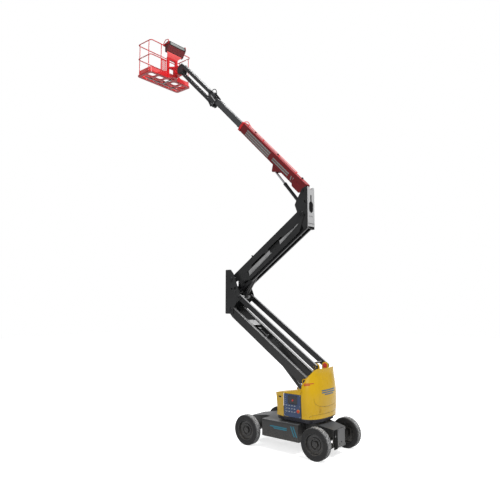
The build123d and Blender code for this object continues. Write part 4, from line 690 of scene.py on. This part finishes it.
def pinHead(name, node, body, pivot, radius, keeperTurn):
    x, z = pivot
    long = pinSet["keeper"][0]
    lean = radians(keeperTurn)
    for side, word in sides:
        y = skin(node, (x + 0.004, side * 2, z + 0.004), (0, -side, 0)).y
        head = rod((x, y + side * pinSet["proud"] / 2, z), radius, pinSet["proud"], "Y", bevel=0.003)
        place = (x + cos(lean) * radius * pinSet["keeperOut"], y + side * 0.003,
                 z + sin(lean) * radius * pinSet["keeperOut"])
        keeper = block(place, pinSet["keeper"], (0, -lean, 0), 0.002)
        finishPiece([head, keeper], f"pin_{name}_{word}", body, "pin")
        spot = (place[0] + cos(lean) * long * pinSet["screwOut"], y + side * 0.007,
                place[2] + sin(lean) * long * pinSet["screwOut"])
        screw = bolts([spot], "Y", pinSet["screwSize"])
        finishPiece(screw, f"pinBolt_{name}_{word}", body, "darkSteel")


for pin in pins:
    pinHead(*pin)
print("pins fitted")

# light grey strips along the tops of the lower beams: a painted highlight
stripSet = {"top": 0.101, "middle": 1.57, "size": (2.5, 0.036, 0.004), "across": (0.225, 0.275)}
for side, word in sides:
    strips = [block(along(lowerPivot, lowerTurn, stripSet["middle"], stripSet["top"], side * across),
                    stripSet["size"], (0, radians(-lowerTurn), 0), 0.001)
              for across in stripSet["across"]]
    finishPiece(strips, "lowerTopHighlight_" + word, "lower_arm", "edge")
print("lower stage trimmed")

# windows in the upper arm: a black slab painted as the shade in the recess, a light plate painted as the
# lit inner plate, a light strip painted as the highlight on the lower rim;
# ends along the arm, then the heights of the low and high edge at either end
windows = {
    "low": {"ends": (0.56, 1.62), "foot": (-0.268, -0.118), "head": (-0.240, -0.120)},
    "high": {"ends": (1.97, 2.81), "foot": (-0.236, -0.116), "head": (-0.172, -0.158)},
}
armSet = {"side": 0.188, "deep": 0.002, "rimDeep": 0.003, "out": 0.0005, "upward": (0.578, 0.816),
          "studs": ((1.70, -0.19), (1.86, -0.17), (1.78, -0.215), (0.42, -0.10), (0.44, -0.20)),
          "studSize": 0.014, "tabY": 0.16, "tabRuns": (0.965, 0.985), "tabRise": 0.136,
          "tab": (0.012, 0.045, 0.075), "tabLean": 35, "eyeRun": 0.975, "eyeRise": 0.162,
          "eyeRadius": 0.016, "eyeLong": 0.05, "clipY": 0.165, "clipRuns": (1.40, 0.55, 2.25),
          "clipRise": 0.130, "clip": (0.05, 0.03, 0.012), "clipLean": 35.3}


# (x, z) of a place on the upper arm: run along it from its pivot, rise square to it
def armPoint(run, rise):
    place = along(upperPivot, upperTurn, run, 0)
    return (place[0] + rise * armSet["upward"][0], place[2] + rise * armSet["upward"][1])


for side, word in sides:
    face = side * armSet["side"]
    for name, window in windows.items():
        s0, s1 = window["ends"]
        (low0, high0), (low1, high1) = window["foot"], window["head"]
        # black slab: painted shade inside the window
        recess = slab([armPoint(s0, low0), armPoint(s1, low1), armPoint(s1, high1), armPoint(s0, high0)],
                      face - side * 0.001, side * armSet["deep"], 0)
        finishPiece(recess, f"window_{name}_{word}", "upper_arm", "black")
        # light grey plate: painted light on the inner plate seen through the window
        inner = slab([armPoint(s0 + 0.02, low0 + 0.026), armPoint(s1 - 0.05, low1 + 0.022),
                      armPoint(s1 - 0.02, high1 - 0.010), armPoint(s0 + 0.06, high0 - 0.014)],
                     face + side * armSet["out"], side * armSet["deep"], 0)
        finishPiece(inner, f"windowLitPlate_{name}_{word}", "upper_arm", "litInnerPlate")
        # light grey strip: painted highlight along the window's lower rim
        rim = slab([armPoint(s0 + 0.01, low0 + 0.004), armPoint(s1 - 0.01, low1 + 0.004),
                    armPoint(s1 - 0.01, low1 + 0.016), armPoint(s0 + 0.01, low0 + 0.018)],
                   face + side * armSet["out"], side * armSet["rimDeep"], 0)
        finishPiece(rim, f"windowRimHighlight_{name}_{word}", "upper_arm", "edge")
    spots = [armPoint(run, rise) for run, rise in armSet["studs"]]
    studs = bolts([(x, face + side * 0.003, z) for x, z in spots], "Y", armSet["studSize"])
    finishPiece(studs, "armStuds_" + word, "upper_arm", "darkSteel")
tab = []
for run in armSet["tabRuns"]:
    x, z = armPoint(run, armSet["tabRise"])
    tab.append(block((x, armSet["tabY"], z), armSet["tab"], (0, radians(armSet["tabLean"]), 0), 0.003))
x, z = armPoint(armSet["eyeRun"], armSet["eyeRise"])
tab.append(rod((x, armSet["tabY"], z), armSet["eyeRadius"], armSet["eyeLong"], "Y", bevel=0.002))
finishPiece(tab, "armTab", "upper_arm", "arm")
clips = []
for run in armSet["clipRuns"]:
    x, z = armPoint(run, armSet["clipRise"])
    clips.append(block((x, armSet["clipY"], z), armSet["clip"], (0, radians(armSet["clipLean"]), 0),
                       0.003))
finishPiece(clips, "armClips", "upper_arm", "arm")
print("upper arm windows set")

# light grey sleeves on the middle riser's tie pin: a painted highlight
sleeveSet = {"x": 1.844, "z": 4.024, "across": 0.135, "radius": 0.046, "long": 0.11}
sleeves = [rod((sleeveSet["x"], side * sleeveSet["across"], sleeveSet["z"]), sleeveSet["radius"],
               sleeveSet["long"], "Y", bevel=0.003) for side in (1, -1)]
finishPiece(sleeves, "tieSleeves", "mid_riser", "edge")

# black slab painted as the shade in the access slot of the upper riser's back plate, with its fold line
# below
riserSet = {"back": -0.553, "slotY": 0.0, "slotZ": 6.48, "slotWide": 0.19, "slotHigh": 0.31,
            "slotDeep": 0.004, "foldZ": 6.02, "fold": (0.004, 0.31, 0.010), "markDrop": 0.03,
            "markY": (-0.08, 0.07), "mark": (0.004, 0.05, 0.008)}
half = riserSet["slotWide"] / 2
straight = (riserSet["slotHigh"] - riserSet["slotWide"]) / 2
deselectAll()
bpy.ops.mesh.primitive_circle_add(vertices=32, radius=half, fill_type="NGON", rotation=(0, -pi / 2, 0),
                                  location=(riserSet["back"] - 0.002, riserSet["slotY"],
                                            riserSet["slotZ"]))
slot = bpy.context.object
bake(slot)
for vertex in slot.data.vertices:
    vertex.co.z += straight if vertex.co.z > riserSet["slotZ"] else -straight
modify(slot, "SOLIDIFY", thickness=riserSet["slotDeep"], offset=0)
finishPiece(slot, "riserSlotShade", "upper_riser", "black")
x = riserSet["back"] - 0.001
fold = block((x, 0, riserSet["foldZ"]), riserSet["fold"], bevel=0.001)
marks = [block((x, y, riserSet["foldZ"] - riserSet["markDrop"]), riserSet["mark"], bevel=0.001)
         for y in riserSet["markY"]]
finishPiece([fold] + marks, "riserFold", "upper_riser", "darkSteel")

# black discs painted as the shade in the round lightening holes in the riser plates
for name, x, z, radius in (("mid", 1.972, 4.281, 0.042), ("upper", -0.438, 6.25, 0.030)):
    node = name + "_riser"
    for side, word in sides:
        y = skin(node, (x, side * 2, z), (0, -side, 0)).y
        cover = rod((x, y + side * 0.001, z), radius, 0.004, "Y", bevel=0.001)
        finishPiece(cover, f"riserHoleShade_{name}_{word}", node, "black")

capSet = {"place": (-0.803, -0.195, 2.185), "radius": 0.064, "deep": 0.020}
cap = rod(capSet["place"], capSet["radius"], capSet["deep"], "Y", bevel=0.004)
finishPiece(cap, "tiePinCap", "turntable", "button")
print("risers detailed")

# plain marks on the boom's sides: bars by their ends, rows and half height, then slashes
boomSet = {"side": 0.100, "mark": 0.0015,
           "bars": (((1.74, 3.00), (0.05, -0.015, -0.08), 0.021),
                    ((0.76, 1.56), (0.005, -0.055), 0.018)),
           "slashes": (0.47, 0.57), "slash": ((0, -0.10), (0.035, -0.10), (0.085, 0.02), (0.05, 0.02))}
for side, word in sides:
    face, depth = side * boomSet["side"], side * boomSet["mark"]
    marks = []
    for (start, end), rows, half in boomSet["bars"]:
        for row in rows:
            corners = ((start, row - half), (end, row - half), (end, row + half), (start, row + half))
            places = [along(boomPivot, boomTurn, run, rise) for run, rise in corners]
            marks.append(slab([(x, z) for x, y, z in places], face, depth, 0))
    for start in boomSet["slashes"]:
        places = [along(boomPivot, boomTurn, start + run, rise) for run, rise in boomSet["slash"]]
        marks.append(slab([(x, z) for x, y, z in places], face, depth, 0))
    finishPiece(marks, "boomStripes_" + word, "boom", "markGrey")
print("boom marked")

# bend that ends the hose rail, bolts of the boom's collar, clamps of the rail
railSet = {"radius": 0.013, "bend": ((3.02, 0.183), (3.12, 0.192), (3.20, 0.228), (3.28, 0.225),
                                     (3.34, 0.190), (3.38, 0.150)),
           "boltRuns": (3.33, 3.44), "boltRises": (-0.09, 0.09), "boltY": 0.110, "boltSize": 0.010,
           "clampRise": 0.170, "clamp": (0.05, 0.046, 0.036),
           "clamps": ((0.35, "rear"), (1.55, "middle"), (2.75, "front"))}
railBend = pipe([along(boomPivot, boomTurn, run, rise) for run, rise in railSet["bend"]],
                railSet["radius"], "railBend")
finishPiece(railBend, "railBend", "boom", "rail")
collarBolts = bolts([along(boomPivot, boomTurn, run, rise, side * railSet["boltY"])
                     for run in railSet["boltRuns"] for rise in railSet["boltRises"]
                     for side in (1, -1)], "Y", railSet["boltSize"])
finishPiece(collarBolts, "collarBolts", "boom", "darkSteel")
for run, name in railSet["clamps"]:
    clamp = block(along(boomPivot, boomTurn, run, railSet["clampRise"]), railSet["clamp"],
                  (0, radians(-boomTurn), 0), 0.006)
    finishPiece(clamp, "railClamp_" + name, "boom", "darkSteel")
print("boom dressed")

# jib bracket: bolts, stiffeners and the hydraulic hose that loops over it
jibSet = {"plate": 0.114, "hoseRadius": 0.013, "hoseLength": 0.694,
          "bolts": ((3.12, 10.36), (3.20, 10.36), (3.36, 10.62), (3.33, 10.70), (3.16, 10.60)),
          "boltSize": 0.009, "rib": ((3.05, 10.44), (3.075, 10.42), (3.27, 10.66), (3.25, 10.69)),
          "ribDeep": 0.006}
for side, word in sides:
    face = side * jibSet["plate"]
    heads = bolts([(x, face + side * 0.003, z) for x, z in jibSet["bolts"]], "Y", jibSet["boltSize"])
    finishPiece(heads, "jibBolts_" + word, "jib_base", "steel")
    # the stiffeners are drawn light grey: a painted highlight
    rib = slab(jibSet["rib"], face, side * jibSet["ribDeep"])
    finishPiece(rib, "jibRib_" + word, "jib_base", "edge")
loopPoints = [(3.12, 0.100, 10.50), (3.05, 0.112, 10.54), (2.98, 0.124, 10.62), (2.98, 0.128, 10.74),
              (3.06, 0.124, 10.83), (3.18, 0.112, 10.83), (3.26, 0.100, 10.77), (3.27, 0.092, 10.70)]
loop = hoseCurve(loopPoints, jibSet["hoseRadius"], "jibHose", 3)
finishPiece(loop, "jibHose", "jib_base", "black")
print("jib bracket dressed")

# platform console: light rear strip in a black surround, ribs below, controls on top
consoleSet = {"middle": -0.09, "wide": 0.74, "rear": 4.5, "above": 14, "stripZ": 13.085,
              "stripHigh": 0.085, "stripTrim": 0.07, "surroundHigh": 0.125, "lean": -8.6,
              "ribs": 15, "ribZ": 12.93, "rib": (0.008, 0.010, 0.20), "ribTrim": 0.04, "ribLean": -35.3,
              "leverX": 5.36, "levers": ((-0.36, "drive"), (0.12, "boom")),
              "buttons": 8, "buttonX": 5.34, "buttonY": -0.28, "buttonStep": 0.05,
              "buttonRadius": 0.011, "buttonHigh": 0.012, "stopY": -0.12, "stopSize": 0.022}
# parts of a lever from its foot up: height of the middle, radius, length, bevel
leverSet = ((0.008, 0.028, 0.018, 0.004), (0.032, 0.007, 0.05, 0.001), (0.048, 0.014, 0.030, 0.004))
lean = radians(consoleSet["lean"])
spot = skin("console", (consoleSet["rear"], consoleSet["middle"], consoleSet["stripZ"]), (1, 0, 0))
surround = block(spot, (0.012, consoleSet["wide"], consoleSet["surroundHigh"]), (0, lean, 0), 0.004)
finishPiece(surround, "consoleSurround", "platform", "black")
strip = block(spot + Vector((-0.006, 0, 0)),
              (0.010, consoleSet["wide"] - consoleSet["stripTrim"], consoleSet["stripHigh"]),
              (0, lean, 0), 0.003)
finishPiece(strip, "consoleStrip", "platform", "strip")
ribs = []
for i in range(consoleSet["ribs"]):
    share = i / (consoleSet["ribs"] - 1) - 0.5
    y = consoleSet["middle"] + share * (consoleSet["wide"] - consoleSet["ribTrim"])
    place = skin("console", (consoleSet["rear"], y, consoleSet["ribZ"]), (1, 0, 0))
    ribs.append(block(place, consoleSet["rib"], (0, radians(consoleSet["ribLean"]), 0), 0.002))
finishPiece(ribs, "consoleRibs", "platform", "basketDeep")


def consoleTop(x, y):
    return skin("console", (x, y, consoleSet["above"]), (0, 0, -1))


for y, name in consoleSet["levers"]:
    top = consoleTop(consoleSet["leverX"], y)
    lever = [rod(top + Vector((0, 0, up)), radius, long, "Z", bevel=bevel)
             for up, radius, long, bevel in leverSet]
    finishPiece(lever, "lever_" + name, "platform", "black")
buttons = []
for i in range(consoleSet["buttons"]):
    top = consoleTop(consoleSet["buttonX"] + consoleSet["buttonStep"] * (i % 2),
                     consoleSet["buttonY"] + consoleSet["buttonStep"] * i)
    buttons.append(rod(top + Vector((0, 0, 0.003)), consoleSet["buttonRadius"],
                       consoleSet["buttonHigh"], "Z", around=16, bevel=0.002))
finishPiece(buttons, "consoleButtons", "platform", "steel")
top = consoleTop(consoleSet["leverX"], consoleSet["stopY"])
stop = rod(top + Vector((0, 0, 0.010)), consoleSet["stopSize"], consoleSet["stopSize"], "Z", bevel=0.004)
finishPiece(stop, "consoleStop", "platform", "button")
print("console dressed")

# platform: bolts of the toe boards and of the rotator
deckSet = {"toeZ": 11.97, "toeSize": 0.007, "front": 7, "frontY": (-0.75, -0.25, 0.25, 0.75),
           "sideX": (5.6, 5.95), "crownX": 5.10, "crownZ": 12.06, "crownCircle": 0.07,
           "crownCount": 8, "crownSize": 0.008}
toe = [skin("toe_boards", (deckSet["front"], y, deckSet["toeZ"]), (-1, 0, 0)) for y in deckSet["frontY"]]
finishPiece(bolts(toe, "X", deckSet["toeSize"]), "toeBolts_front", "platform", "steel")
toe = [skin("toe_boards", (x, side * 2, deckSet["toeZ"]), (0, -side, 0))
       for x in deckSet["sideX"] for side in (1, -1)]
finishPiece(bolts(toe, "Y", deckSet["toeSize"]), "toeBolts_sides", "platform", "steel")
crown = []
for i in range(deckSet["crownCount"]):
    spin = 2 * pi * i / deckSet["crownCount"]
    start = (deckSet["crownX"] + deckSet["crownCircle"] * cos(spin), 2,
             deckSet["crownZ"] + deckSet["crownCircle"] * sin(spin))
    crown.append(skin("rotator_housing", start, (0, -1, 0)))
finishPiece(bolts(crown, "Y", deckSet["crownSize"]), "rotatorBolts", "jib_head", "darkSteel")
print("platform dressed")

# pale floor that the camera sees near white, and that bounces less light back up
deselectAll()
stageSet = {"floorSize": 90, "floorTone": 0.84, "bounceTone": 0.30, "glow": 0.70, "sky": 0.44,
            "skyTone": (0.97, 0.98, 1.0, 1), "white": (1, 1, 1, 1)}
bpy.ops.mesh.primitive_plane_add(size=stageSet["floorSize"], location=(0, 0, 0))
floor = bpy.context.object
floor.name = "Floor"
floorNodes = Nodes("PaleFloor")
floorNodes.put(colour=(stageSet["floorTone"],) * 3, rough=0.9, specular=0.1)
lit = floorNodes.shader.outputs[0]
dim = floorNodes.add("ShaderNodeBsdfDiffuse", {"Color": (*(stageSet["bounceTone"],) * 3, 1)})
whiteGlow = floorNodes.add("ShaderNodeEmission", {"Color": stageSet["white"],
                                                  "Strength": stageSet["glow"]})
addition = floorNodes.add("ShaderNodeAddShader", {0: lit, 1: whiteGlow.outputs[0]})
ray = floorNodes.add("ShaderNodeLightPath")
seen = floorNodes.maths("MAXIMUM", ray.outputs["Is Camera Ray"], ray.outputs["Is Glossy Ray"])
choice = floorNodes.add("ShaderNodeMixShader", {0: seen, 1: dim.outputs[0], 2: addition.outputs[0]})
output = [node for node in floorNodes.tree.nodes if node.type == "OUTPUT_MATERIAL"][0]
floorNodes.tree.links.new(choice.outputs[0], output.inputs["Surface"])
floor.data.materials.append(floorNodes.material)

# soft sky on the machine, plain white behind it
world = bpy.data.worlds.new("Studio")
bpy.context.scene.world = world
world.use_nodes = True
sky = world.node_tree
sky.nodes.clear()


def skyNode(kind, *inputs):
    node = sky.nodes.new("ShaderNode" + kind)
    for index, value in enumerate(inputs):
        if isinstance(value, bpy.types.NodeSocket):
            sky.links.new(value, node.inputs[index])
        else:
            node.inputs[index].default_value = value
    return node


skyPath = skyNode("LightPath").outputs
skySeen = skyNode("Math", skyPath["Is Camera Ray"], skyPath["Is Transmission Ray"])
skySeen.operation = "MAXIMUM"
skySoft = skyNode("Background", stageSet["skyTone"], stageSet["sky"])
skyWhite = skyNode("Background", stageSet["white"], 1.0)
skyMix = skyNode("MixShader", skySeen.outputs[0], skySoft.outputs[0], skyWhite.outputs[0])
skyNode("OutputWorld", skyMix.outputs[0])

lamps = (  # name, place, aim, size, watts
    ("KeyLamp", (-9.0, 3.0, 19.0), (0.5, 0.0, 4.0), 6.0, 2700),
    ("FillLamp", (-6.0, 16.0, 8.0), (1.0, 0.0, 5.0), 9.0, 780),
    ("RimLamp", (12.0, -9.0, 17.0), (2.0, 0.0, 7.0), 7.0, 1300),
)
for lampName, place, aim, size, watts in lamps:
    deselectAll()
    bpy.ops.object.light_add(type="AREA", location=place)
    lamp = bpy.context.object
    lamp.name = lampName
    lamp.data.size = size
    lamp.data.energy = watts
    lamp.rotation_euler = (Vector(aim) - Vector(place)).to_track_quat("-Z", "Y").to_euler()

cameraSet = {"place": (-8.233, 11.637, 3.913), "pitch": 95.68, "turn": -139.64, "sensor": 36,
             "lens": 36.6, "reach": 200}
bpy.ops.object.camera_add(location=cameraSet["place"], rotation=(
    radians(cameraSet["pitch"]), 0, radians(cameraSet["turn"])))
camera = bpy.context.object
camera.data.sensor_width = cameraSet["sensor"]
camera.data.lens = cameraSet["lens"]
camera.data.clip_end = cameraSet["reach"]
bpy.context.scene.camera = camera
bpy.context.scene.view_settings.view_transform = "Standard"
print("Stage set")
